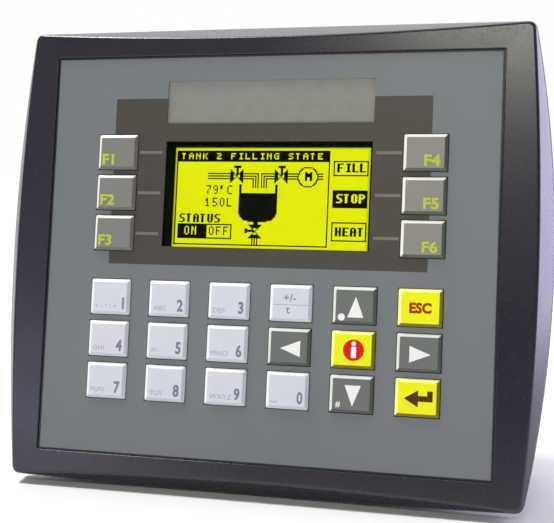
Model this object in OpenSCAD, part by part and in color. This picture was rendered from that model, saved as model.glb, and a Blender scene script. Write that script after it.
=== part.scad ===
// Panel-mounted operator terminal with a graphic display and sprung keys.
// Origin: centre of the panel cut-out, on the panel's front surface.
// +X is the operator's right, +Z is up, the front faces -Y, and the rear is towards +Y.

/* [Overall] */
// Width across the bowed left and right edges
overall_w = 184; // [180:1:224]
// Height across the crowned top and bottom edges
overall_h = 155; // [152:1:190]
// Depth from the front rim to the rear wall
overall_d = 61.3; // [56:0.1:80]

/* [Front rim] */
// How far the front rim stands off the panel
rim_proud = 9.5; // [9:0.1:14]
// Bow of the left and right edges between the corners
side_bow = 7.4; // [3:0.1:9]
// Bow of the top and bottom edges between the corners
top_bow = 1.85; // [0.5:0.05:4]
// Width of the slope at the middle of the left and right edges
side_slope = 4.9; // [2:0.1:7]
// Width of the slope at the middle of the top and bottom edges
top_slope = 5; // [2:0.1:6]
// Depth of the slopes behind the front rim
slope_depth = 6.6; // [3:0.1:8]
// Length cut off each corner of the outline
corner_cut = 1.2; // [0:0.1:3]
// From the widest edge to the overlay, left and right
border_w = 16.55; // [14:0.05:20]
// From the widest edge to the overlay, top and bottom
border_h = 10.75; // [9:0.05:14]
// Thickness of the moulded plate behind the overlay
plate_t = 2; // [1.5:0.1:2.6]

/* [Overlay] */
// Thickness of the printed overlay
overlay_t = 0.5; // [0.3:0.1:1]
// How far the overlay lies below the front rim
overlay_recess = 0.5; // [0.2:0.1:1]

/* [Panel cut-out] */
// From the widest edge to the cut-out, left and right
cutout_margin_w = 12; // [11:0.5:14]
// From the widest edge to the cut-out, top and bottom
cutout_margin_h = 8.5; // [7.5:0.5:9]
// Gap between the cut-out and the body on each side
cutout_gap = 0.5; // [0.3:0.1:1]
// Thickest panel that the clamps take
panel_max_t = 5; // [3:0.5:6]
// Width of the gasket strip
gasket_w = 3; // [2:0.1:3.4]
// Thickness of the gasket
gasket_t = 2; // [1.5:0.1:3]
// How far the gasket stands out of its groove
gasket_proud = 0.8; // [0.3:0.1:1]

/* [Keys] */
// Width of a key
key_w = 13.9; // [11:0.1:16.7]
// Height of a key
key_h = 11.75; // [9:0.05:12.2]
// Distance between key columns
col_pitch = 20.73; // [20.5:0.01:21.3]
// Distance between rows of the keypad
row_pitch = 13.95; // [13.9:0.01:14.4]
// Distance between function keys
f_pitch = 13.66; // [13.6:0.01:14.4]
// Height of a key above the overlay
key_rise = 0.9; // [0.7:0.1:2]
// Travel of a key
key_travel = 0.6; // [0.3:0.05:0.8]
// Gap around a key in its aperture
key_gap = 0.25; // [0.15:0.05:0.5]
// Width of the bevel round a key
key_bevel = 1.1; // [0.4:0.1:1.6]

/* [Display] */
// Width of the visible display
view_w = 69.7; // [60:0.1:74]
// Height of the visible display
view_h = 35.2; // [28:0.1:38]
// Height of the display's centre above the middle
display_z = 20.3; // [19:0.1:21.5]
// Width of the display module
module_w = 84; // [78:0.5:84]
// Height of the display module
module_h = 48; // [44:0.5:48]
// Width of the slide-in label
label_w = 70; // [40:0.5:80]
// Height of the slide-in label
label_h = 14.35; // [8:0.05:15]

/* [Body] */
// Wall of the skirt and of the rear housing
wall = 2.3; // [1.8:0.1:2.8]
// Slope cut along the rear edges of the housing
rear_bevel = 5; // [2:0.5:7]
// Width of the connector bay
bay_w = 124; // [116:1:128]
// Height of the connector bay
bay_h = 12.5; // [11.6:0.1:14]

/* [Clamps] */
// Diameter of a clamp screw
clamp_d = 4; // [3:0.1:5]
// Height of the clamps above and below the middle
clamp_z = 35; // [20:1:44]

/* [Power plug] */
// Number of poles
poles = 3; // [2:1:4]
// Distance between poles
pole_pitch = 5.08; // [3.8:0.01:6.2]

/* [Hidden] */

// Number of sides that a true circle is drawn with
round_fn = 48;
// Number of sides that a very large arc is drawn with
arc_fn = 720;
// Extra length of a cutting tool past a face
over = 1;

// Outline of the front
half_w = overall_w / 2;
half_h = overall_h / 2;
corner_x = half_w - side_bow;
corner_z = half_h - top_bow;
face_x = half_w - side_slope;
face_z = half_h - top_slope;

// Depths, from the front to the rear
front_y = -rim_proud;
overlay_y = front_y + overlay_recess;
plate_y = overlay_y + overlay_t;
plate_rear_y = plate_y + plate_t;
rim_rear_y = -gasket_proud;
rear_y = front_y + overall_d;

// Overlay and its seat
overlay_w = overall_w - 2 * border_w;
overlay_h = overall_h - 2 * border_h;
overlay_fit = 0.15;

// Body behind the panel
cutout_w = overall_w - 2 * cutout_margin_w;
cutout_h = overall_h - 2 * cutout_margin_h;
body_x = cutout_w / 2 - cutout_gap;
body_z = cutout_h / 2 - cutout_gap;
cavity_x = body_x - wall;
cavity_z = body_z - wall;
skirt_rear_y = panel_max_t;
body_r = 3;
gasket_gap = 0.6;
groove_fit = 0.1;

// Keys: seats, flanges, stems and domes
key_top_y = overlay_y - key_rise;
flange_w = 0.6;
flange_t = 0.8;
flange_y = plate_rear_y + 0.1;
stem_r = 1.6;
dome_r = 4.8;
dome_h = 0.9;
dome_t = 0.15;
dome_top_r = 2;
dome_y = flange_y + flange_t + key_travel + 0.45;
stem_y = flange_y + flange_t;
board_t = 1.6;
keypad_board_y = dome_y + dome_h;
keypad_board_rear_y = keypad_board_y + board_t;
columns = 6;
rows = 3;
keypad_top_z = -8.8;
function col_x(c) = (c - (columns - 1) / 2) * col_pitch;
function pad_z(r) = keypad_top_z - key_h / 2 - r * row_pitch;
function f_z(r) = display_z + 0.2 + (1 - r) * f_pitch;
keypad_points = [for (r = [0 : rows - 1], c = [0 : columns - 1]) [col_x(c), pad_z(r)]];
function_points = [for (c = [0, columns - 1], r = [0 : rows - 1]) [col_x(c), f_z(r)]];
key_points = concat(keypad_points, function_points);

// Display stack
pane_lap = 1.9;
pane_t = 1;
sheet_t = 0.6;
glass_t = 2;
backlight_t = 2.4;
display_board_t = 1.2;
stack_w = module_w - 2 * sheet_t - 0.4;
stack_h = module_h - 2 * sheet_t - 0.4;
glass_y = plate_rear_y + sheet_t;
backlight_y = glass_y + glass_t;
display_board_y = backlight_y + backlight_t;
display_rear_y = display_board_y + display_board_t;

// Slide-in label
label_lap = 1.5;
label_t = 0.5;
label_z = display_z + 30.8;

// Boards and what holds them
boss_r = 2.5;
board_screw_r = 1;
board_screw_head_r = 1.9;
board_screw_head_t = 1.3;
board_screw_slot = 0.5;
boss_x = cavity_x - 11.2;
boss_points = [
  [-boss_x, 46], [boss_x, 46], [-boss_x, 0], [boss_x, 0],
  [-boss_x, -46], [boss_x, -46], [0, -(cavity_z - 8.2)]
];
keypad_board_x = cavity_x - 3.2;
keypad_board_z = cavity_z - 2.2;
post_x = body_x - 10;
post_z = body_z - 10;
post_r = 4.4;
post_gap = 1.2;
notch = 40;
main_board_y = 16;
main_board_rear_y = main_board_y + board_t;
main_board_x = 64;
main_board_low_z = -cavity_z + 14.2;
main_board_high_z = cavity_z - 4.2;
standoff_r = 2.5 / cos(30);
m3_r = 1.5;
m3_head_r = 2.8;
m3_head_t = 2;
m3_slot = 0.8;
housing_screw_l = 12;
standoff_x = main_board_x - 5;
standoff_points = [
  for (x = [-standoff_x, standoff_x], z = [main_board_low_z + 8, main_board_high_z - 12]) [x, z]
];

// Rear housing
tongue_fit = 0.2;
tongue_t = 1.5;
tongue_depth = 3.4;
well_floor_y = skirt_rear_y + 6;
post_rear_y = skirt_rear_y + 3;
well_r = 3.3;
bay_y = 17;
bay_z = -body_z + bay_h;
bay_wall = 2.3;
vent_w = 2.4;
vent_l = 24;
vent_y = 18;
vent_pitch = 10;
vents = 11;
rating_w = 84;
rating_h = 44;
rating_z = 14;
rating_t = 0.4;

// Connectors in the bay, which all face down
mouth_z = bay_z - 0.2;
port_gap = 0.3;
jack_w = 13.4;
jack_d = 12;
jack_h = 16;
jack_wall = 2;
jack_hole_w = 9.8;
jack_hole_d = 7;
jack_hole_h = 12;
jack_xs = [-14, 6];
header_wall = 1.1;
header_key = 1;
header_w = poles * pole_pitch + 5.3;
header_d = 12;
header_h = 13;
header_x = 38;
header_cavity_h = 8;
plug_gap = 0.2;
pin_r = 0.6;
pin_l = 6.6;
pin_hole_gap = 0.3;
plug_out_h = 10.8;
plug_out_gap = 0.05;
plug_screw_r = 1.9;
plug_screw_t = 1.6;
plug_screw_slot = 0.7;
plug_screw_depth = 2.4;
plug_in_h = 7;
wire_w = 3;
wire_depth = 6;
bay_clear = 0.6;
module_x = -40;
module_conn_w = 26;
module_conn_d = 10;
module_conn_h = 12;
module_wall = 2;
module_depth = 8;
module_pins = 8;
pin_grid = 2.54;
pin_side = 0.64;
cover_gap = 0.3;
cover_t = 1.8;
cover_in_h = 4;
grip_w = 18;
grip_t = 2;
grip_h = 4;
port_y = main_board_rear_y;

// Clamps: each screw runs through a bracket hooked into the housing's side
clamp_r = clamp_d / 2;
clamp_fit = 0.05;
clamp_x = body_x + clamp_r + 3;
bracket_y = 14;
bracket_l = 10;
bracket_w = 12;
bracket_reach = clamp_r + 2.6;
slot_y = 13;
slot_l = 8.5;
slot_w = 6.4;
hook_w = 5.8;
hook_t = 3;
hook_lip = 1.5;
pad_y = 3;
pad_t = 3;
pad_r = clamp_r + 2.4;
pad_socket = 1.5;
clamp_screw_l = 30;
clamp_head_r = clamp_r + 1.6;
clamp_head_t = 2.6;
clamp_points = [[-1, 1], [1, 1], [-1, -1], [1, -1]];

rim_col = [0.17, 0.17, 0.24];
overlay_col = [0.52, 0.54, 0.55];
white_key = [0.88, 0.88, 0.93];
grey_key = [0.45, 0.46, 0.47];
pale_key = [0.6, 0.6, 0.59];
yellow_key = [0.94, 0.94, 0.05];
board_col = [0.08, 0.36, 0.2];
metal_col = [0.76, 0.77, 0.78];
black_col = [0.08, 0.08, 0.09];

// Radius of an arc from its half chord and its rise
function arc_r(chord, rise) = (chord * chord + rise * rise) / (2 * rise);

// Extrudes an outline drawn in X and Z along +Y from y
module slab(y, depth) {
  translate([0, y + depth, 0])
    rotate([90, 0, 0])
      linear_extrude(depth)
        children();
}

// A cylinder along +Y from y
module rod(y, length, r, fn = round_fn) {
  translate([0, y + length, 0])
    rotate([90, 0, 0])
      cylinder(h = length, r = r, $fn = fn);
}

// A cone along Y whose radius is r at the front rim and grows by rate per millimetre of depth
module rim_cone(r, rate) {
  depth = rim_rear_y - front_y + 2 * over;
  translate([0, front_y - over + depth, 0])
    rotate([90, 0, 0])
      cylinder(h = depth, r1 = r + rate * (depth - over), r2 = r - rate * over, $fn = arc_fn);
}

// A block centred on X and Z, from y along +Y
module block(w, h, y, depth) {
  translate([-w / 2, y, -h / 2])
    cube([w, depth, h]);
}

// A block whose lowest face is at z, from y along +Y and centred on X
module standing_block(w, depth, h, y, z) {
  translate([-w / 2, y, z])
    cube([w, depth, h]);
}

// A rectangle with true round corners
module round_rect(w, h, r) {
  square([w - 2 * r, h], center = true);
  square([w, h - 2 * r], center = true);
  for (x = [-1, 1], z = [-1, 1])
    translate([x * (w / 2 - r), z * (h / 2 - r)])
      circle(r = r, $fn = round_fn);
}

// Outline of the front rim: bowed sides, crowned top and bottom, clipped corners
module rim_outline() {
  side_r = arc_r(corner_z, side_bow);
  top_r = arc_r(corner_x, top_bow);
  clip = (corner_x + corner_z - corner_cut) * sqrt(2);
  intersection() {
    translate([half_w - side_r, 0]) circle(r = side_r, $fn = arc_fn);
    translate([side_r - half_w, 0]) circle(r = side_r, $fn = arc_fn);
    translate([0, half_h - top_r]) circle(r = top_r, $fn = arc_fn);
    translate([0, top_r - half_h]) circle(r = top_r, $fn = arc_fn);
    rotate(45) square(clip, center = true);
  }
}

// Solid rim whose slopes fade out towards the corners
module rim_solid() {
  side_r = arc_r(corner_z, face_x - corner_x);
  top_r = arc_r(corner_x, corner_z - face_z);
  side_rate = side_slope / slope_depth;
  top_rate = top_slope / slope_depth;
  difference() {
    intersection() {
      slab(front_y, rim_rear_y - front_y) rim_outline();
      translate([face_x - side_r, 0, 0]) rim_cone(side_r, side_rate);
      translate([side_r - face_x, 0, 0]) rim_cone(side_r, side_rate);
    }
    translate([0, 0, face_z + top_r]) rim_cone(top_r, -top_rate);
    translate([0, 0, -face_z - top_r]) rim_cone(top_r, -top_rate);
  }
}

module key_apertures(y, depth) {
  for (p = key_points)
    translate([p[0], 0, p[1]])
      block(key_w + 2 * key_gap, key_h + 2 * key_gap, y, depth);
}

module front_bezel() {
  color(rim_col)
    difference() {
      union() {
        rim_solid();
        slab(rim_rear_y - over, skirt_rear_y - rim_rear_y + over)
          round_rect(2 * body_x, 2 * body_z, body_r);
      }
      block(
        overlay_w + 2 * overlay_fit, overlay_h + 2 * overlay_fit,
        front_y - over, plate_y - front_y + over
      );
      difference() {
        slab(plate_rear_y, skirt_rear_y - plate_rear_y + over)
          round_rect(2 * cavity_x, 2 * cavity_z, body_r - 1);
        for (p = boss_points)
          translate([p[0], 0, p[1]]) rod(plate_rear_y - over, keypad_board_y - plate_rear_y + over, boss_r);
        for (x = [-post_x, post_x], z = [-post_z, post_z])
          translate([x, 0, z]) rod(plate_rear_y - over, post_rear_y - plate_rear_y + over, post_r);
      }
      key_apertures(plate_y - over, plate_t + 2 * over);
      translate([0, 0, display_z]) {
        block(view_w + 1, view_h + 1, plate_y - over, plate_t + 2 * over);
        block(view_w + 2 * pane_lap + 0.2, view_h + 2 * pane_lap + 0.2, plate_y - over, pane_t + over);
      }
      translate([0, 0, label_z])
        block(label_w + 2 * label_lap + 0.2, label_h + 2 * label_lap + 0.2, plate_y - over, label_t + over);
      for (p = boss_points)
        translate([p[0], 0, p[1]]) rod(plate_rear_y, keypad_board_y - plate_rear_y + over, board_screw_r);
      for (x = [-post_x, post_x], z = [-post_z, post_z])
        translate([x, 0, z]) rod(plate_rear_y, post_rear_y - plate_rear_y + over, m3_r);
      gasket_ring(rim_rear_y - (gasket_t - gasket_proud), gasket_t, groove_fit);
    }
}

// Square ring round the cut-out, grown on both sides by fit
module gasket_ring(y, depth, fit) {
  inner_x = cutout_w / 2 + gasket_gap;
  inner_z = cutout_h / 2 + gasket_gap;
  difference() {
    block(2 * (inner_x + gasket_w + fit), 2 * (inner_z + gasket_w + fit), y, depth);
    block(2 * (inner_x - fit), 2 * (inner_z - fit), y - over, depth + 2 * over);
  }
}

module panel_gasket() {
  color(black_col) gasket_ring(-gasket_t, gasket_t, 0);
}

module front_overlay() {
  color(overlay_col)
    difference() {
      block(overlay_w, overlay_h, overlay_y, overlay_t);
      key_apertures(overlay_y - over, overlay_t + 2 * over);
      translate([0, 0, display_z]) block(view_w, view_h, overlay_y - over, overlay_t + 2 * over);
      translate([0, 0, label_z]) block(label_w, label_h, overlay_y - over, overlay_t + 2 * over);
    }
}

module display_window() {
  color([0.8, 0.85, 0.7, 0.35])
    translate([0, 0, display_z])
      block(view_w + 2 * pane_lap, view_h + 2 * pane_lap, plate_y, pane_t);
}

module label_slide() {
  color([0.62, 0.62, 0.6])
    translate([0, 0, label_z])
      block(label_w + 2 * label_lap, label_h + 2 * label_lap, plate_y, label_t);
}

module display_frame() {
  color(metal_col)
    translate([0, 0, display_z])
      difference() {
        block(module_w, module_h, plate_rear_y, display_rear_y - plate_rear_y);
        block(stack_w, stack_h, glass_y, display_rear_y - glass_y + over);
        block(view_w + 1.6, view_h + 1.6, plate_rear_y - over, sheet_t + 2 * over);
      }
}

module display_glass() {
  color([0.9, 0.94, 0.1])
    translate([0, 0, display_z]) block(stack_w, stack_h, glass_y, glass_t);
}

module display_backlight() {
  color([0.95, 0.95, 0.9])
    translate([0, 0, display_z]) block(stack_w, stack_h, backlight_y, backlight_t);
}

module display_board() {
  color(board_col)
    translate([0, 0, display_z]) block(stack_w, stack_h, display_board_y, display_board_t);
}

module keypad_board() {
  notch_x = post_x - post_r - post_gap;
  notch_z = post_z - post_r - post_gap;
  color(board_col)
    difference() {
      block(2 * keypad_board_x, 2 * keypad_board_z, keypad_board_y, board_t);
      translate([0, 0, display_z])
        block(module_w + 2, module_h + 2, keypad_board_y - over, board_t + 2 * over);
      for (x = [-1, 1], z = [-1, 1])
        translate([x * (notch_x + notch / 2), 0, z * (notch_z + notch / 2)])
          block(notch, notch, keypad_board_y - over, board_t + 2 * over);
      for (p = boss_points)
        translate([p[0], 0, p[1]]) rod(keypad_board_y - over, board_t + 2 * over, board_screw_r + 0.1);
      for (p = standoff_points)
        translate([p[0], 0, p[1]]) rod(keypad_board_y - over, board_t + 2 * over, m3_r);
    }
}

// One thin metal dome under each key
module key_domes() {
  color(metal_col)
    for (p = key_points)
      translate([p[0], keypad_board_y, p[1]])
        rotate([90, 0, 0])
          rotate_extrude($fn = round_fn)
            polygon([
              [0, dome_h], [dome_top_r, dome_h], [dome_r, 0],
              [dome_r - 2 * dome_t, 0], [dome_top_r - dome_t, dome_h - dome_t], [0, dome_h - dome_t]
            ]);
}

// Profile of a key, wide w, with a bevel over most of its rise
module key_profile(w) {
  bevel_y = key_top_y + 0.8 * key_rise;
  polygon([
    [-w / 2, bevel_y], [-w / 2 + key_bevel, key_top_y],
    [w / 2 - key_bevel, key_top_y], [w / 2, bevel_y],
    [w / 2, flange_y], [-w / 2, flange_y]
  ]);
}

// A bevelled key with a flange behind the plate and a stem over its dome
module key(p) {
  translate([p[0], 0, p[1]]) {
    intersection() {
      linear_extrude(key_h, center = true) key_profile(key_w);
      rotate([0, 90, 0]) linear_extrude(key_w, center = true) key_profile(key_h);
    }
    block(key_w + 2 * flange_w, key_h + 2 * flange_w, flange_y, flange_t);
    rod(stem_y, dome_y - stem_y - 0.05, stem_r);
  }
}

module pad_key(row, column, tint) {
  color(tint) key([col_x(column), pad_z(row)]);
}

module function_key(row, column) {
  color(pale_key) key([col_x(column), f_z(row)]);
}

module key_f1() { function_key(0, 0); }
module key_f2() { function_key(1, 0); }
module key_f3() { function_key(2, 0); }
module key_f4() { function_key(0, 5); }
module key_f5() { function_key(1, 5); }
module key_f6() { function_key(2, 5); }
module key_1() { pad_key(0, 0, white_key); }
module key_2() { pad_key(0, 1, white_key); }
module key_3() { pad_key(0, 2, white_key); }
module key_sign() { pad_key(0, 3, white_key); }
module key_up() { pad_key(0, 4, grey_key); }
module key_esc() { pad_key(0, 5, yellow_key); }
module key_4() { pad_key(1, 0, white_key); }
module key_5() { pad_key(1, 1, white_key); }
module key_6() { pad_key(1, 2, white_key); }
module key_left() { pad_key(1, 3, grey_key); }
module key_info() { pad_key(1, 4, yellow_key); }
module key_right() { pad_key(1, 5, grey_key); }
module key_7() { pad_key(2, 0, white_key); }
module key_8() { pad_key(2, 1, white_key); }
module key_9() { pad_key(2, 2, white_key); }
module key_0() { pad_key(2, 3, white_key); }
module key_down() { pad_key(2, 4, grey_key); }
module key_enter() { pad_key(2, 5, yellow_key); }

// A screw along Y: its head lies behind seat_y and its shank runs forward
module screw(seat_y, length, r, head_r, head_t, slot) {
  difference() {
    union() {
      rod(seat_y, head_t, head_r);
      rod(seat_y - length, length, r);
    }
    block(slot, 2 * head_r + over, seat_y + head_t / 2, head_t);
  }
}

module board_screws() {
  color(metal_col) {
    for (p = boss_points)
      translate([p[0], 0, p[1]])
        screw(
          keypad_board_rear_y, keypad_board_rear_y - plate_rear_y - 0.2,
          board_screw_r, board_screw_head_r, board_screw_head_t, board_screw_slot
        );
    for (p = standoff_points)
      translate([p[0], 0, p[1]])
        screw(main_board_rear_y, board_t + 5, m3_r, m3_head_r, m3_head_t, m3_slot);
  }
}

module board_standoffs() {
  color(metal_col)
    for (p = standoff_points)
      translate([p[0], 0, p[1]])
        difference() {
          union() {
            rod(keypad_board_rear_y, main_board_y - keypad_board_rear_y, standoff_r, 6);
            rod(keypad_board_y, board_t + over, m3_r);
          }
          rod(main_board_y - 8, 8 + over, m3_r);
        }
}

module main_board() {
  color(board_col)
    difference() {
      translate([0, 0, (main_board_low_z + main_board_high_z) / 2])
        block(2 * main_board_x, main_board_high_z - main_board_low_z, main_board_y, board_t);
      for (p = standoff_points)
        translate([p[0], 0, p[1]]) rod(main_board_y - over, board_t + 2 * over, m3_r);
    }
}

// Chips on the rear of the main board: [x, z, width, height, thickness]
chips = [
  [-8, 8, 20, 20, 1.6], [24, 14, 12, 18, 1.4], [24, -10, 14, 8, 1.4],
  [-36, -8, 10, 8, 1.4], [44, -18, 10, 14, 3]
];
module board_chips() {
  color(black_col)
    for (c = chips)
      translate([c[0], 0, c[1]]) block(c[2], c[3], main_board_rear_y, c[4]);
}

// Capacitors on the front of the main board: [x, z, radius, height]
capacitors = [[44, -34, 5, 12], [32, -36, 4, 10], [-44, 30, 3.2, 8], [-35, 30, 3.2, 8]];
module board_capacitors() {
  color([0.15, 0.2, 0.35])
    for (c = capacitors)
      translate([c[0], 0, c[1]]) rod(main_board_y - c[3], c[3], c[2]);
}

// A flat cable from y to the main board, stepping up by rise on the way
module flat_cable(x, z, w, y, rise) {
  t = 0.4;
  lead = 3;
  span = main_board_y - y;
  translate([x, y, z])
    rotate([0, 90, 0])
      linear_extrude(w, center = true)
        polygon([
          [0, 0], [0, lead], [-rise, span - lead], [-rise, span],
          [-rise - t, span], [-rise - t, span - lead], [-t, lead], [-t, 0]
        ]);
}

module ribbon_cables() {
  color([0.8, 0.8, 0.78]) {
    flat_cable(0, display_z + 12, 24, display_rear_y, 6);
    flat_cable(0, -cavity_z + 22, 18, keypad_board_rear_y, 4);
  }
}

battery_r = 10;
battery_t = 3.2;
battery_at = [40, main_board_high_z - 22];
module battery_holder() {
  color([0.12, 0.12, 0.13])
    translate([battery_at[0], 0, battery_at[1]])
      difference() {
        rod(main_board_rear_y, battery_t + 1.4, battery_r + 2);
        rod(main_board_rear_y + 1.2, battery_t + over, battery_r + 0.1);
        translate([0, 0, battery_r]) block(8, 8, main_board_rear_y + 1.2, battery_t + over);
      }
}

module backup_battery() {
  color(metal_col)
    translate([battery_at[0], 0, battery_at[1]]) rod(main_board_rear_y + 1.2, battery_t, battery_r);
}

// Outside of the housing, with its rear edges sloped
module housing_outside() {
  depth = rear_y - skirt_rear_y;
  foot_bevel = 1.5;
  intersection() {
    slab(skirt_rear_y, depth) round_rect(2 * body_x, 2 * body_z, body_r);
    linear_extrude(3 * body_z, center = true)
      polygon([
        [-body_x - over, skirt_rear_y - over], [body_x + over, skirt_rear_y - over],
        [body_x + over, rear_y - rear_bevel - over], [body_x - rear_bevel, rear_y],
        [rear_bevel - body_x, rear_y], [-body_x - over, rear_y - rear_bevel - over]
      ]);
    rotate([0, -90, 0])
      linear_extrude(3 * body_x, center = true)
        polygon([
          [-body_z - over, skirt_rear_y - over], [body_z + over, skirt_rear_y - over],
          [body_z + over, rear_y - rear_bevel - over], [body_z - rear_bevel, rear_y],
          [foot_bevel - body_z, rear_y], [-body_z - over, rear_y - foot_bevel - over]
        ]);
  }
}

// The connector bay, grown by wall_t, open below and behind
module bay_space(wall_t) {
  standing_block(
    bay_w + 2 * wall_t, rear_y - bay_y + wall_t + over, bay_h + wall_t + over,
    bay_y - wall_t, -body_z - over
  );
}

// Inside of the housing, which steps round the bay and keeps the screw posts
module housing_inside() {
  inner_y = rear_y - wall;
  shoulder_y = inner_y - rear_bevel - wall;
  shoulder_x = body_x - rear_bevel - wall;
  shoulder_z = body_z - rear_bevel - wall;
  difference() {
    intersection() {
      slab(skirt_rear_y - over, inner_y - skirt_rear_y + over)
        round_rect(2 * cavity_x, 2 * cavity_z, body_r - 1);
      linear_extrude(3 * body_z, center = true)
        polygon([
          [-body_x, 0], [body_x, 0], [body_x, shoulder_y],
          [shoulder_x, inner_y], [-shoulder_x, inner_y], [-body_x, shoulder_y]
        ]);
      rotate([0, -90, 0])
        linear_extrude(3 * body_x, center = true)
          polygon([
            [-body_z, 0], [body_z, 0], [body_z, shoulder_y],
            [shoulder_z, inner_y], [-body_z, inner_y]
          ]);
    }
    bay_space(bay_wall);
    for (x = [-post_x, post_x], z = [-post_z, post_z])
      translate([x, 0, z]) rod(post_rear_y, rear_y - post_rear_y, post_r);
  }
}

module port_hole(x, w, depth) {
  translate([x, 0, 0])
    standing_block(
      w + 2 * port_gap, depth + 2 * port_gap, 2 * bay_wall + 2,
      port_y - port_gap, bay_z - over
    );
}

module rear_housing() {
  tongue_x = cavity_x - tongue_fit;
  tongue_z = cavity_z - tongue_fit;
  notch_x = post_x - post_r - 0.3;
  notch_z = post_z - post_r - 0.3;
  color([0.2, 0.2, 0.22])
    union() {
      difference() {
        housing_outside();
        housing_inside();
        bay_space(0);
        translate([0, 0, rating_z]) block(rating_w, rating_h, rear_y - rating_t, rating_t + over);
        for (x = [-post_x, post_x], z = [-post_z, post_z])
          translate([x, 0, z]) {
            rod(post_rear_y - over, rear_y, m3_r + 0.2);
            rod(well_floor_y, rear_y, well_r);
          }
        for (i = [0 : vents - 1])
          translate([(i - (vents - 1) / 2) * vent_pitch, 0, cavity_z])
            standing_block(vent_w, vent_l, 2 * wall, vent_y, -over);
        for (x = jack_xs) port_hole(x, jack_w, jack_d);
        port_hole(header_x, header_w, header_d);
        port_hole(module_x, module_conn_w, module_conn_d);
        for (s = clamp_points)
          translate([s[0] * body_x, 0, s[1] * clamp_z])
            block(4 * wall, slot_w, slot_y, slot_l);
      }
      difference() {
        union() {
          slab(skirt_rear_y - tongue_depth, tongue_depth + over)
            round_rect(2 * tongue_x, 2 * tongue_z, body_r - 1);
          slab(skirt_rear_y, 2)
            round_rect(2 * cavity_x + 0.4, 2 * cavity_z + 0.4, body_r - 1);
        }
        slab(skirt_rear_y - tongue_depth - over, tongue_depth + 6 * over)
          round_rect(2 * (tongue_x - tongue_t), 2 * (tongue_z - tongue_t), body_r - 1);
        for (x = [-1, 1], z = [-1, 1])
          translate([x * (notch_x + notch / 2), 0, z * (notch_z + notch / 2)])
            block(notch, notch, -over, post_rear_y + over);
      }
    }
}

module housing_screws() {
  color(metal_col)
    for (x = [-post_x, post_x], z = [-post_z, post_z])
      translate([x, 0, z]) screw(well_floor_y, housing_screw_l, m3_r, m3_head_r, m3_head_t, m3_slot);
}

module serial_jacks() {
  color([0.13, 0.13, 0.14])
    for (x = jack_xs)
      translate([x, 0, 0])
        difference() {
          standing_block(jack_w, jack_d, jack_h, port_y, mouth_z);
          standing_block(jack_hole_w, jack_hole_d, jack_hole_h + over, port_y + jack_wall, mouth_z - over);
          standing_block(
            jack_hole_w / 2, 2, jack_hole_h + over,
            port_y + jack_wall + jack_hole_d - 0.5, mouth_z - over
          );
        }
}

// Middle of the power header and of the module connector, front to rear
header_mid_y = port_y + header_d / 2;
plug_rear_y = port_y + header_d + 0.2;
module_mid_y = port_y + module_conn_d / 2;

module power_header() {
  inner_w = header_w - 2 * header_wall;
  inner_d = header_d - 2 * header_wall - header_key;
  color([0.1, 0.4, 0.2])
    translate([header_x, 0, 0]) {
      difference() {
        standing_block(header_w, header_d, header_h, port_y, mouth_z);
        standing_block(
          inner_w, inner_d, header_cavity_h + over, header_mid_y - inner_d / 2, mouth_z - over
        );
      }
      for (i = [0 : poles - 1])
        translate([(i - (poles - 1) / 2) * pole_pitch, header_mid_y, mouth_z + header_cavity_h - pin_l])
          cylinder(h = pin_l + over, r = pin_r, $fn = round_fn);
    }
}

module power_plug() {
  in_w = header_w - 2 * header_wall - 2 * plug_gap;
  in_d = header_d - 2 * header_wall - header_key - 2 * plug_gap;
  top_z = mouth_z - plug_out_gap;
  color([0.13, 0.5, 0.27])
    translate([header_x, 0, 0])
      difference() {
        union() {
          standing_block(in_w, in_d, plug_in_h, header_mid_y - in_d / 2, top_z - over / 2);
          standing_block(header_w, header_d - 0.4, plug_out_h, port_y + bay_clear, top_z - plug_out_h);
        }
        for (i = [0 : poles - 1])
          translate([(i - (poles - 1) / 2) * pole_pitch, 0, 0]) {
            translate([0, header_mid_y, top_z])
              cylinder(h = plug_in_h + over, r = pin_r + pin_hole_gap, $fn = round_fn);
            standing_block(
              wire_w, wire_w, wire_depth + over, header_mid_y - wire_w / 2, top_z - plug_out_h - over
            );
            translate([0, 0, top_z - plug_out_h / 2])
              rod(plug_rear_y - plug_screw_depth, plug_screw_depth + over, plug_screw_r);
          }
      }
}

module plug_screws() {
  color(metal_col)
    for (i = [0 : poles - 1])
      translate([header_x + (i - (poles - 1) / 2) * pole_pitch, 0, mouth_z - plug_out_gap - plug_out_h / 2])
        difference() {
          rod(plug_rear_y - plug_screw_depth, plug_screw_t, plug_screw_r);
          block(
            plug_screw_slot, 2 * plug_screw_r + over,
            plug_rear_y - plug_screw_depth + plug_screw_t / 2, plug_screw_t
          );
        }
}

module module_connector() {
  inner_w = module_conn_w - 2 * module_wall;
  inner_d = module_conn_d - 2 * module_wall;
  color(black_col)
    translate([module_x, 0, 0]) {
      difference() {
        standing_block(module_conn_w, module_conn_d, module_conn_h, port_y, mouth_z);
        standing_block(inner_w, inner_d, module_depth + over, module_mid_y - inner_d / 2, mouth_z - over);
      }
      for (i = [0 : module_pins - 1], s = [-1, 1])
        translate([(i - (module_pins - 1) / 2) * pin_grid, s * pin_grid / 2, 0])
          standing_block(
            pin_side, pin_side, module_depth - 0.5, module_mid_y - pin_side / 2, mouth_z + 1.5
          );
    }
}

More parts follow.
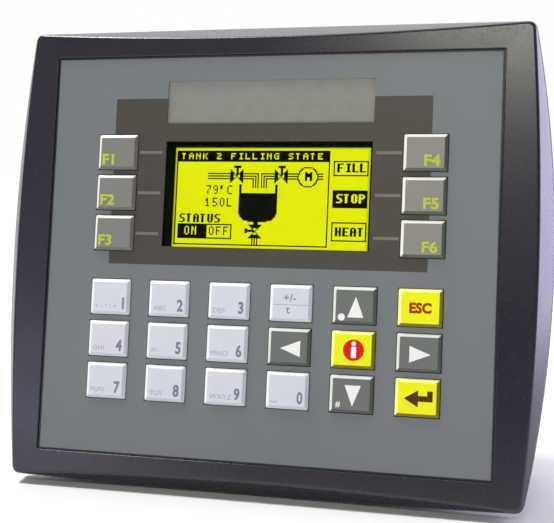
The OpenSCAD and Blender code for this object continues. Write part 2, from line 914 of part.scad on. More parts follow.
module module_cover() {
  out_w = module_conn_w - 2 * module_wall - 2 * cover_gap;
  out_d = module_conn_d - 2 * module_wall - 2 * cover_gap;
  in_w = (module_pins - 1) * pin_grid + pin_side + 0.6;
  in_d = pin_grid + pin_side + 0.6;
  top_z = mouth_z - plug_out_gap;
  color([0.2, 0.2, 0.22])
    translate([module_x, 0, 0]) {
      difference() {
        standing_block(out_w, out_d, cover_in_h, module_mid_y - out_d / 2, top_z - over / 2);
        standing_block(in_w, in_d, cover_in_h + over, module_mid_y - in_d / 2, top_z);
      }
      standing_block(module_conn_w + 2, module_conn_d, cover_t, port_y + bay_clear, top_z - cover_t);
      standing_block(grip_w, grip_t, grip_h, module_mid_y - grip_t / 2, top_z - cover_t - grip_h);
    }
}

// A bracket on the +X side at the middle height: a block for the screw and a hook for the slot
module clamp_bracket() {
  hook_y = slot_y + slot_l - hook_t - 0.3;
  lip_x = cavity_x - 0.3 - hook_lip;
  difference() {
    union() {
      translate([body_x, bracket_y, -bracket_w / 2])
        cube([clamp_x + bracket_reach - body_x, bracket_l, bracket_w]);
      translate([lip_x, hook_y, -hook_w / 2])
        cube([body_x - lip_x + over, hook_t, hook_w]);
      translate([lip_x, hook_y, -hook_w / 2])
        cube([hook_lip, 2 * hook_t, hook_w]);
    }
    translate([clamp_x, 0, 0]) rod(bracket_y - over, bracket_l + 2 * over, clamp_r + clamp_fit);
  }
}

module clamp_brackets() {
  color(metal_col)
    for (s = clamp_points)
      translate([0, 0, s[1] * clamp_z])
        mirror([s[0] < 0 ? 1 : 0, 0, 0])
          clamp_bracket();
}

module clamp_screw(s) {
  tip_y = pad_y + pad_t - pad_socket;
  color([0.7, 0.7, 0.68])
    translate([s[0] * clamp_x, 0, s[1] * clamp_z])
      screw(tip_y + clamp_screw_l, clamp_screw_l, clamp_r, clamp_head_r, clamp_head_t, 1);
}

module clamp_pad(s) {
  color([0.15, 0.15, 0.16])
    translate([s[0] * clamp_x, 0, s[1] * clamp_z])
      difference() {
        rod(pad_y, pad_t, pad_r);
        rod(pad_y + pad_t - pad_socket, pad_socket + over, clamp_r + clamp_fit);
      }
}

module clamp_screw_1() { clamp_screw(clamp_points[0]); }
module clamp_screw_2() { clamp_screw(clamp_points[1]); }
module clamp_screw_3() { clamp_screw(clamp_points[2]); }
module clamp_screw_4() { clamp_screw(clamp_points[3]); }
module clamp_pad_1() { clamp_pad(clamp_points[0]); }
module clamp_pad_2() { clamp_pad(clamp_points[1]); }
module clamp_pad_3() { clamp_pad(clamp_points[2]); }
module clamp_pad_4() { clamp_pad(clamp_points[3]); }

front_bezel();
front_overlay();
display_window();
label_slide();
panel_gasket();
display_frame();
display_glass();
display_backlight();
display_board();
keypad_board();
key_domes();
board_screws();
board_standoffs();
main_board();
board_chips();
board_capacitors();
ribbon_cables();
battery_holder();
backup_battery();
rear_housing();
housing_screws();
clamp_brackets();
power_header();
power_plug();
plug_screws();
serial_jacks();
module_connector();
module_cover();
clamp_screw_1();
clamp_screw_2();
clamp_screw_3();
clamp_screw_4();
clamp_pad_1();
clamp_pad_2();
clamp_pad_3();
clamp_pad_4();
key_f1();
key_f2();
key_f3();
key_f4();
key_f5();
key_f6();
key_1();
key_2();
key_3();
key_sign();
key_up();
key_esc();
key_4();
key_5();
key_6();
key_left();
key_info();
key_right();
key_7();
key_8();
key_9();
key_0();
key_down();
key_enter();
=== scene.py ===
"""Builds the looks of a panel-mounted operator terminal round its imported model.

Lengths are in millimetres in the part's own frame until a piece is finished, when they
become metres. The front faces -Y, +X is the operator's right and +Z is up.
"""

from __future__ import annotations

import logging
import math
from collections.abc import Callable, Iterable, Sequence
from dataclasses import dataclass, field
from enum import Enum
from itertools import product

import bmesh
import bpy
from mathutils import Matrix, Vector

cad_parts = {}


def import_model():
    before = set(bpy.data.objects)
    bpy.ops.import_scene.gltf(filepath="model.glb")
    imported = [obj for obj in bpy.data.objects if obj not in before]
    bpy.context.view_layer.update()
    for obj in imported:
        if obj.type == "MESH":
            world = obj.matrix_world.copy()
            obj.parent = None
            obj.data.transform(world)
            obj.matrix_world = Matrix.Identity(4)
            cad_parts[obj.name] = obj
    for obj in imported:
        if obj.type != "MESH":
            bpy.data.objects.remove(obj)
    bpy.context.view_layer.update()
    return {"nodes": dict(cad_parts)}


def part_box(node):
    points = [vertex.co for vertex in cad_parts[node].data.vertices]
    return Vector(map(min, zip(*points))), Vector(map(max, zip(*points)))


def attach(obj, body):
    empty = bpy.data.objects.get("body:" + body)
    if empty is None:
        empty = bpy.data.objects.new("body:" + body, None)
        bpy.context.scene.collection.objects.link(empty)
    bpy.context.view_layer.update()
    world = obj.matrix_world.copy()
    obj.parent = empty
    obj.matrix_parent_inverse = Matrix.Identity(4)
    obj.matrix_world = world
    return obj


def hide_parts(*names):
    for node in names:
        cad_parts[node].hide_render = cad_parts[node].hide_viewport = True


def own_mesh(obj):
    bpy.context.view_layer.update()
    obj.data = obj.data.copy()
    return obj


MM = 0.001
LOG = logging.getLogger("terminal")

Point2 = tuple[float, float]
Point3 = tuple[float, float, float]
Colour = tuple[float, float, float, float]
Loop = Sequence[Point3]

# The signs of X and Z in the four quarters, anticlockwise from the upper right
QUARTERS = ((1, 1), (-1, 1), (-1, -1), (1, -1))
# How far a key's flange stands out beyond its cap
KEY_FLANGE = 0.6
# How thick the printed legends are
INK_DEPTH = 0.05


def paint(red: float, green: float, blue: float) -> Colour:
    """Turns a colour as a screen shows it into a linear one.

    Args:
        red: Red, from 0 to 255.
        green: Green, from 0 to 255.
        blue: Blue, from 0 to 255.

    Returns:
        The linear colour, opaque.
    """

    def linear(value: float) -> float:
        """Undoes the screen's curve for one channel."""
        share = value / 255
        return share / 12.92 if share <= 0.04045 else ((share + 0.055) / 1.055) ** 2.4

    return (linear(red), linear(green), linear(blue), 1.0)


def tinted(colour: Colour, share: float) -> Colour:
    """Returns a colour made lighter or darker by a share, and kept below white."""
    red, green, blue, solid = colour
    return (min(1.0, red * share), min(1.0, green * share), min(1.0, blue * share), solid)


def box_of(node: str) -> tuple[Vector, Vector]:
    """Returns the lowest and highest corners of a node, in millimetres."""
    low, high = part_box(node)
    return low / MM, high / MM


def middle_of(node: str) -> Point2:
    """Returns the middle of a node in X and Z, in millimetres."""
    low, high = box_of(node)
    return (low.x + high.x) / 2, (low.z + high.z) / 2


# Shader nodes


class Wire:
    """An output socket that takes part in arithmetic, and lays a Math node for each step."""

    def __init__(self, recipe: Recipe, socket: bpy.types.NodeSocket | None) -> None:
        """Keeps the recipe that the socket belongs to."""
        self.recipe = recipe
        self.socket = socket

    def _sum(self, operation: str, *values: Wire | float) -> Wire:
        """Lays one Math node.

        Args:
            operation: The Math node's operation.
            values: What goes into its sockets, in order.

        Returns:
            The node's output.
        """
        return self.recipe.add(
            "ShaderNodeMath", {"operation": operation}, dict(enumerate(values))
        )

    def __add__(self, other: Wire | float) -> Wire:
        """Adds."""
        return self._sum("ADD", self, other)

    __radd__ = __add__

    def __sub__(self, other: Wire | float) -> Wire:
        """Subtracts from this."""
        return self._sum("SUBTRACT", self, other)

    def __rsub__(self, other: float) -> Wire:
        """Subtracts this from a number."""
        return self._sum("SUBTRACT", other, self)

    def __mul__(self, other: Wire | float) -> Wire:
        """Multiplies."""
        return self._sum("MULTIPLY", self, other)

    __rmul__ = __mul__

    def __truediv__(self, other: Wire | float) -> Wire:
        """Divides this."""
        return self._sum("DIVIDE", self, other)

    def __abs__(self) -> Wire:
        """Drops the sign."""
        return self._sum("ABSOLUTE", self)

    def most(self, other: Wire | float) -> Wire:
        """Returns the larger of the two."""
        return self._sum("MAXIMUM", self, other)

    def least(self, other: Wire | float) -> Wire:
        """Returns the smaller of the two."""
        return self._sum("MINIMUM", self, other)

    def held(self) -> Wire:
        """Returns this held between 0 and 1."""
        return self.most(0.0).least(1.0)

    def past(self, edge: float, soft: float) -> Wire:
        """Returns 0 below an edge and 1 above it, over a soft width."""
        return ((self - edge) / soft + 0.5).held()


class Recipe:
    """The nodes of one material or sky."""

    def __init__(self, owner: bpy.types.Material | bpy.types.World) -> None:
        """Starts with no nodes."""
        owner.use_nodes = True
        self.owner = owner
        self.tree = owner.node_tree
        self.tree.nodes.clear()
        self._place: Wire | None = None

    def add(
        self,
        kind: str,
        settings: dict[str, object] | None = None,
        inputs: dict[str | int, object] | None = None,
        output: str | int = 0,
    ) -> Wire:
        """Lays one node.

        Args:
            kind: The node's type.
            settings: Its properties, or "stops" for a ramp's places and colours.
            inputs: What goes into its sockets: a number, a colour or a wire.
            output: The socket that the wire comes from.

        Returns:
            The wire from that socket.
        """
        node = self.tree.nodes.new(kind)
        for key, value in (settings or {}).items():
            if key == "stops":
                stops = node.color_ramp.elements
                while len(stops) < len(value):
                    stops.new(1.0)
                for stop, (place, colour) in zip(stops, value):
                    stop.position = place
                    stop.color = colour
            else:
                setattr(node, key, value)
        for key, value in (inputs or {}).items():
            if isinstance(value, Wire):
                self.tree.links.new(value.socket, node.inputs[key])
            else:
                node.inputs[key].default_value = value
        return Wire(self, node.outputs[output] if node.outputs else None)

    def place(self) -> Wire:
        """Returns the place on the part.

        Returns:
            A vector in millimetres.
        """
        if self._place is None:
            metres = self.add("ShaderNodeTexCoord", output="Object")
            self._place = self.add(
                "ShaderNodeVectorMath", {"operation": "SCALE"}, {0: metres, "Scale": 1 / MM}
            )
        return self._place

    def axes(self) -> tuple[Wire, Wire, Wire]:
        """Splits the place.

        Returns:
            Its X, Y and Z in millimetres.
        """
        split = self.add("ShaderNodeSeparateXYZ", inputs={0: self.place()})
        return tuple(Wire(self, output) for output in split.socket.node.outputs)

    def noise(self, size: float, detail: float = 2.0, stretch: Point3 = (1, 1, 1)) -> Wire:
        """Returns smooth noise from 0 to 1.

        Args:
            size: The size of a patch, in millimetres.
            detail: How many finer layers it has.
            stretch: How much closer the patches lie along each axis.

        Returns:
            The noise.
        """
        place = self.place()
        if stretch != (1, 1, 1):
            place = self.add(
                "ShaderNodeVectorMath", {"operation": "MULTIPLY"}, {0: place, 1: stretch}
            )
        return self.add(
            "ShaderNodeTexNoise",
            {"noise_dimensions": "3D"},
            {"Vector": place, "Scale": 1 / size, "Detail": detail},
        )

    def edges(self) -> Wire:
        """Returns 1 on outer edges, fading to 0 on flats."""
        geometry = self.add("ShaderNodeNewGeometry", output="Pointiness")
        return ((geometry - 0.51) * 14.0).held()

    def mix(self, share: Wire | float, first: Wire | Colour, second: Wire | Colour) -> Wire:
        """Mixes two colours.

        Args:
            share: How much of the second colour shows.
            first: The colour where share is 0.
            second: The colour where share is 1.

        Returns:
            The mixed colour.
        """
        return self.add(
            "ShaderNodeMix", {"data_type": "RGBA"}, {0: share, 6: first, 7: second}, output=2
        )

    def tints(self, share: Wire | float, colour: Colour, low: float, high: float) -> Wire:
        """Mixes two tints of one colour, low and high times as light."""
        return self.mix(share, tinted(colour, low), tinted(colour, high))

    def bump(self, height: Wire, depth: float) -> Wire:
        """Returns the normal of a surface raised by height times depth millimetres."""
        return self.add("ShaderNodeBump", inputs={"Height": height, "Distance": depth * MM})

    def surface(self, **inputs: object) -> bpy.types.Material:
        """Lays the shader and its output.

        Args:
            inputs: The shader's sockets, with underscores for spaces.

        Returns:
            The finished material.
        """
        shader = self.add(
            "ShaderNodeBsdfPrincipled",
            inputs={key.replace("_", " "): value for key, value in inputs.items()},
        )
        self.add("ShaderNodeOutputMaterial", inputs={"Surface": shader})
        return self.owner


# Finishes


@dataclass(frozen=True)
class Finish:
    """A named surface, whose material is made once."""

    name: str

    def material(self) -> bpy.types.Material:
        """Returns the finish's material."""
        made = bpy.data.materials.get(self.name)
        return made or self.lay(Recipe(bpy.data.materials.new(self.name)))

    def lay(self, recipe: Recipe) -> bpy.types.Material:
        """Lays the finish's nodes."""
        raise NotImplementedError


@dataclass(frozen=True)
class Moulding(Finish):
    """Moulded or painted plastic with grain, faint clouds and rubbed edges."""

    colour: Colour
    roughness: float = 0.42
    grain: float = 0.35
    depth: float = 0.012
    mottle: float = 0.05
    rub: float = 0.35
    gloss: float = 0.5
    coat: float = 0.0

    def lay(self, recipe: Recipe) -> bpy.types.Material:
        """Lays clouds, grain, fine dust and lighter rubbed edges.

        Args:
            recipe: The material's empty recipe.

        Returns:
            The finished material.
        """
        cloud = recipe.noise(26, 3)
        grain = recipe.noise(self.grain, 2)
        dust = recipe.noise(1.1, 4).past(0.66, 0.16)
        base = recipe.tints(cloud, self.colour, 1 - self.mottle, 1 + self.mottle)
        base = recipe.mix((grain - 0.5) * 0.25 + 0.08, base, tinted(self.colour, 1.35))
        worn = recipe.edges() * recipe.noise(3.5, 3).past(0.45, 0.3) * self.rub
        base = recipe.mix(worn, base, tinted(self.colour, 1.9))
        base = recipe.mix(dust * 0.05, base, tinted(self.colour, 2.2))
        rough = self.roughness + (cloud - 0.5) * 0.12 + (grain - 0.5) * 0.1 + dust * 0.06
        return recipe.surface(
            Base_Color=base,
            Roughness=(rough - worn * 0.1).held(),
            Specular_IOR_Level=self.gloss,
            Coat_Weight=self.coat,
            Coat_Roughness=0.2,
            Normal=recipe.bump(grain, self.depth),
        )


@dataclass(frozen=True)
class Metal(Finish):
    """Plated or drawn metal with fine scratches and dull patches."""

    colour: Colour
    roughness: float = 0.34
    stretch: Point3 = (1, 1, 1)

    def lay(self, recipe: Recipe) -> bpy.types.Material:
        """Lays patches, drawn lines and scratches.

        Args:
            recipe: The material's empty recipe.

        Returns:
            The finished material.
        """
        patch = recipe.noise(5, 4)
        drawn = recipe.noise(0.35, 2, self.stretch)
        base = recipe.tints(patch, self.colour, 0.82, 1.12)
        stain = recipe.noise(2.2, 5).past(0.64, 0.12)
        base = recipe.mix(stain * 0.35, base, tinted(self.colour, 0.55))
        rough = self.roughness + (patch - 0.5) * 0.2 + (drawn - 0.5) * 0.14 + stain * 0.12
        return recipe.surface(
            Base_Color=base,
            Metallic=1.0,
            Roughness=rough.held(),
            Normal=recipe.bump(drawn, 0.01),
        )


@dataclass(frozen=True)
class PrintedFilm(Finish):
    """The overlay: grey film with a brown-grey field and thin lines beside the display, and a
    painted shadow round its edge under the bezel's lip.
    """

    ground: Colour
    field_colour: Colour
    line_colour: Colour
    border_colour: Colour
    border: Point2
    field_low: Point2
    field_high: Point2
    lines: tuple[tuple[Point2, Point2], ...]

    def lay(self, recipe: Recipe) -> bpy.types.Material:
        """Lays the printed areas, the painted shadow round the edge, the film's grain and light
        handling marks.

        Args:
            recipe: The material's empty recipe.

        Returns:
            The finished material.
        """
        x, _, z = recipe.axes()
        cloud = recipe.noise(55, 2)
        grain = recipe.noise(0.5, 3)
        ground = recipe.tints(cloud, self.ground, 0.94, 1.07)
        field_tint = recipe.tints(recipe.noise(38, 2), self.field_colour, 0.9, 1.12)
        base = recipe.mix(self._inside(x, z, self.field_low, self.field_high), ground, field_tint)
        for low, high in self.lines:
            base = recipe.mix(self._inside(x, z, low, high), base, self.line_colour)
        # Painted shadow: a dark band round the film's edge, where the bezel's lip shades it.
        low, high = (-self.border[0], -self.border[1]), self.border
        base = recipe.mix(self._inside(x, z, low, high), self.border_colour, base)
        base = recipe.mix((grain - 0.5) * 0.3 + 0.06, base, tinted(self.ground, 1.25))
        marks = recipe.noise(9, 5, (1, 1, 2.4)).past(0.6, 0.2)
        rough = 0.44 + (grain - 0.5) * 0.2 + marks * 0.07
        return recipe.surface(
            Base_Color=base,
            Roughness=rough.held(),
            Specular_IOR_Level=0.4,
            Normal=recipe.bump(grain, 0.008),
        )

    @staticmethod
    def _inside(x: Wire, z: Wire, low: Point2, high: Point2) -> Wire:
        """Returns 1 inside a rectangle, with a crisp printed edge.

        Args:
            x: The place across.
            z: The place up.
            low: The rectangle's lowest corner.
            high: The rectangle's highest corner.

        Returns:
            The mask.
        """
        edge = 0.12
        across = x.past(low[0], edge) - x.past(high[0], edge)
        up = z.past(low[1], edge) - z.past(high[1], edge)
        return across * up


@dataclass(frozen=True)
class LitScreen(Finish):
    """The display's glowing ground, duller towards its lower left edges."""

    colour: Colour
    edge_colour: Colour
    low: Point2
    high: Point2

    def lay(self, recipe: Recipe) -> bpy.types.Material:
        """Lays the glow, its uneven light and a dull rim.

        Args:
            recipe: The material's empty recipe.

        Returns:
            The finished material.
        """
        x, _, z = recipe.axes()
        left = 1 - x.past(self.low[0] + 0.7, 1.6)
        right = x.past(self.high[0] - 0.4, 1.2)
        below = 1 - z.past(self.low[1] + 1.0, 1.6)
        above = z.past(self.high[1] - 0.3, 0.7)
        rim = left.most(right).most(below).most(above)
        glow = recipe.tints(recipe.noise(30, 2), self.colour, 0.94, 1.05)
        glow = recipe.mix(rim * 0.75, glow, self.edge_colour)
        fine = recipe.noise(0.3, 1)
        return recipe.surface(
            Base_Color=paint(14, 16, 2),
            Roughness=0.35 + fine * 0.1,
            Specular_IOR_Level=0.03,
            Emission_Color=glow,
            Emission_Strength=1.0,
            Normal=recipe.bump(fine, 0.002),
        )


@dataclass(frozen=True)
class ClearPane(Finish):
    """The clear window in front of the display."""

    colour: Colour
    opacity: float = 0.03

    def lay(self, recipe: Recipe) -> bpy.types.Material:
        """Lays a glossy clear sheet with the faintest smears.

        Args:
            recipe: The material's empty recipe.

        Returns:
            The finished material.
        """
        smear = recipe.noise(12, 4, (1, 1, 2))
        return recipe.surface(
            Base_Color=recipe.tints(smear, self.colour, 1.0, 1.1),
            Roughness=0.05 + smear * 0.08,
            Alpha=self.opacity,
            Specular_IOR_Level=0.5,
        )


@dataclass(frozen=True)
class Lacquer(Finish):
    """A circuit board's green lacquer over copper tracks."""

    colour: Colour

    def lay(self, recipe: Recipe) -> bpy.types.Material:
        """Lays the tracks in two widths and the lacquer's clouds.

        Args:
            recipe: The material's empty recipe.

        Returns:
            The finished material.
        """
        turned = recipe.add(
            "ShaderNodeMapping",
            inputs={"Vector": recipe.place(), "Rotation": (math.pi / 2, 0, 0)},
        )
        tracks = recipe.add(
            "ShaderNodeTexBrick",
            {"offset": 0.37, "squash": 1.6, "squash_frequency": 3},
            {
                "Vector": turned,
                "Color1": tinted(self.colour, 1.5),
                "Color2": tinted(self.colour, 1.25),
                "Mortar": self.colour,
                "Scale": 0.32,
                "Mortar Size": 0.035,
                "Brick Width": 1.4,
                "Row Height": 0.3,
            },
        )
        cloud = recipe.noise(20, 3)
        base = recipe.mix(cloud * 0.3, tracks, tinted(self.colour, 0.8))
        return recipe.surface(
            Base_Color=base,
            Roughness=0.28 + cloud * 0.1,
            Normal=recipe.bump(recipe.noise(1.4, 3), 0.02),
        )


SLATE = Moulding("slate_moulding", paint(35, 32, 44), 0.27, 0.6, 0.002, 0.06, 0.12, 0.6)
HOUSING = Moulding("housing_moulding", paint(46, 46, 49), 0.5, 0.45, 0.03, 0.06, 0.5, 0.45)
BLACK_MOULDING = Moulding("black_moulding", paint(30, 30, 32), 0.45, 0.3, 0.015, 0.06, 0.6)
GREEN_MOULDING = Moulding("terminal_green_moulding", paint(24, 118, 62), 0.42, 0.3, 0.012)
FOAM = Moulding("gasket_foam_cells", paint(26, 26, 27), 0.85, 0.5, 0.12, 0.1, 0.2, 0.25)
CARD = Moulding("label_card_face", paint(135, 135, 128), 0.5, 0.6, 0.004, 0.02, 0.1, 0.3)
RIBBON = Moulding("ribbon_cable_grey", paint(188, 188, 182), 0.5, 0.3, 0.01)
SLEEVE = Moulding("capacitor_sleeve", paint(34, 44, 78), 0.3, 0.4, 0.004)
DIFFUSER = Moulding("light_guide_acrylic", paint(232, 232, 222), 0.3, 0.5, 0.002)
SCREEN_EDGE = Moulding("screen_surround", paint(6, 16, 6), 0.8, 0.3, 0.004, 0.1, 0.0, 0.05)
DOTS = Moulding("dark_dots", paint(12, 13, 5), 0.8, 0.2, 0.002, 0.1, 0.0, 0.03)
ZINC = Metal("zinc_plating", (0.5, 0.51, 0.54, 1.0), 0.38)
SPRING = Metal("spring_steel_face", (0.68, 0.68, 0.67, 1.0), 0.25, (1, 1, 6))
BRASS = Metal("brass_bar", (0.72, 0.55, 0.27, 1.0), 0.3, (1, 4, 1))
GREEN_BOARD = Lacquer("board_lacquer", paint(22, 84, 50))
PANE = ClearPane("clear_sheet", paint(60, 62, 50))


def printed(name: str, colour: Colour, mottle: float = 0.08, roughness: float = 0.5) -> Moulding:
    """Makes the finish of a printed ink, dull and without rubbed edges."""
    return Moulding("ink_" + name, colour, roughness, 0.3, 0.002, mottle, 0.0, 0.2)


class Ink(Enum):
    """The inks that the legends are printed in."""

    FADED = printed("faded_violet", paint(132, 128, 156))
    PALE = printed("pale_violet", paint(176, 173, 192))
    WHITE = printed("white", paint(250, 250, 247), 0.02)
    CRIMSON = printed("crimson", paint(168, 44, 18), 0.06)
    RED = printed("red", paint(226, 18, 8), 0.05, 0.45)
    BROWN = printed("brown", paint(78, 50, 12))
    LIME = printed("lime", paint(190, 202, 52))


@dataclass(frozen=True)
class KeyTint:
    """A key's face, and its bevels in lit and shaded copies of the face's finish: painted highlight
    on the upper and left ones, painted shade on the lower and right ones.
    """

    slot: str
    face: Moulding
    lit: Moulding
    shade: Moulding


def key_tint(slot: str, face: Colour, lit: Colour, shade: Colour, name: str = "") -> KeyTint:
    """Makes the three finishes of one kind of key.

    Args:
        slot: The record's material slot.
        face: The colour of the key's face.
        lit: The colour of its upper and left bevels, a painted highlight.
        shade: The colour of its lower and right bevels, painted shade.
        name: The finishes' name, where one slot has two tints: the second has a lighter painted face
            and darker painted shade.

    Returns:
        The tint.
    """
    name = name or slot
    return KeyTint(
        slot,
        Moulding(name + "_face", face, 0.4, 0.35, 0.005, 0.03, 0.1, 0.3),
        Moulding(name + "_lit", lit, 0.4, 0.35, 0.003, 0.02, 0.0, 0.3),
        Moulding(name + "_shade", shade, 0.4, 0.35, 0.003, 0.05, 0.0, 0.3),
    )


class Tint(Enum):
    """The four kinds of key, the pale kind twice, in two paintings of its light and shade."""

    WHITE = key_tint("key_white", paint(219, 221, 232), paint(250, 250, 250), paint(200, 199, 214))
    GREY = key_tint("key_grey", paint(112, 116, 112), paint(226, 230, 220), paint(82, 86, 81))
    PALE = key_tint("key_pale", paint(132, 132, 126), paint(240, 240, 230), paint(106, 106, 100))
    # The pale function keys right of the display: a lighter painted face and darker painted shade on
    # the lower and right bevels, where the light falls differently.
    PALE_DARK = key_tint(
        "key_pale", paint(142, 140, 134), paint(240, 240, 230), paint(84, 88, 79), "pale_dark"
    )
    YELLOW = key_tint("key_yellow", paint(246, 250, 8), paint(253, 252, 168), paint(126, 112, 16))


# Meshes


def circle(centre: Point2, radius: float, sides: int = 32) -> list[Point2]:
    """Returns the points of a circle in X and Z.

    Args:
        centre: Its middle.
        radius: Its radius.
        sides: How many points it has.

    Returns:
        The points, anticlockwise as the operator sees them.
    """
    step = math.tau / sides
    return [
        (centre[0] + radius * math.cos(i * step), centre[1] + radius * math.sin(i * step))
        for i in range(sides)
    ]


def round_rect(centre: Point2, size: Point2, radius: float, steps: int = 4) -> list[Point2]:
    """Returns a rectangle with round corners in X and Z.

    Args:
        centre: Its middle.
        size: Its width and height.
        radius: The radius of its corners.
        steps: How many edges each corner has.

    Returns:
        The points, starting at the right-hand side's top.
    """
    points = []
    for corner, (sx, sz) in enumerate(QUARTERS):
        middle = (
            centre[0] + sx * (size[0] / 2 - radius),
            centre[1] + sz * (size[1] / 2 - radius),
        )
        for step in range(steps + 1):
            angle = (corner + step / steps) * math.pi / 2
            points.append(
                (middle[0] + radius * math.cos(angle), middle[1] + radius * math.sin(angle))
            )
    return points


def at_depth(points: Iterable[Point2], y: float) -> list[Point3]:
    """Lays points in X and Z at one depth."""
    return [(x, y, z) for x, z in points]


def rounding(start: Vector, tip: Vector, end: Vector, steps: int) -> list[Vector]:
    """Returns the smooth curve that rounds a corner.

    Args:
        start: Where it starts.
        tip: The corner that it leans towards.
        end: Where it ends.
        steps: How many edges it has.

    Returns:
        Its points, both ends included.
    """
    shares = [step / steps for step in range(steps + 1)]
    return [start * (1 - t) ** 2 + tip * (2 * t * (1 - t)) + end * t**2 for t in shares]


def filleted(points: Sequence[Vector], radii: Sequence[float], steps: int = 4) -> list[Vector]:
    """Rounds the corners of a closed line.

    Args:
        points: The line's corners.
        radii: How far each corner's rounding reaches along its two sides.
        steps: How many edges each rounding has.

    Returns:
        The rounded line. A corner with no radius stays one point.
    """
    line: list[Vector] = []
    count = len(points)
    for i, (corner, radius) in enumerate(zip(points, radii)):
        if radius == 0:
            line.append(corner)
            continue
        before, after = points[i - 1], points[(i + 1) % count]
        reach_in = min(radius, 0.48 * (before - corner).length)
        reach_out = min(radius, 0.48 * (after - corner).length)
        start = corner + (before - corner).normalized() * reach_in
        end = corner + (after - corner).normalized() * reach_out
        line += rounding(start, corner, end, steps)
    return line


def weigh_normals(mesh: bpy.types.Mesh, limit: float) -> None:
    """Leans the shading at each corner towards its larger faces, so that flats look flat.

    Args:
        mesh: The mesh.
        limit: The largest angle that is shaded smooth.
    """
    faces_at: list[list[bpy.types.MeshPolygon]] = [[] for _ in mesh.vertices]
    for face in mesh.polygons:
        for vertex in face.vertices:
            faces_at[vertex].append(face)
    least = math.cos(limit)
    normals = []
    for face in mesh.polygons:
        for vertex in face.vertices:
            near = [f for f in faces_at[vertex] if f.normal.dot(face.normal) >= least]
            total = sum((f.normal * f.area for f in near), Vector())
            normals.append(total.normalized() if total.length else face.normal.copy())
    mesh.normals_split_custom_set(normals)


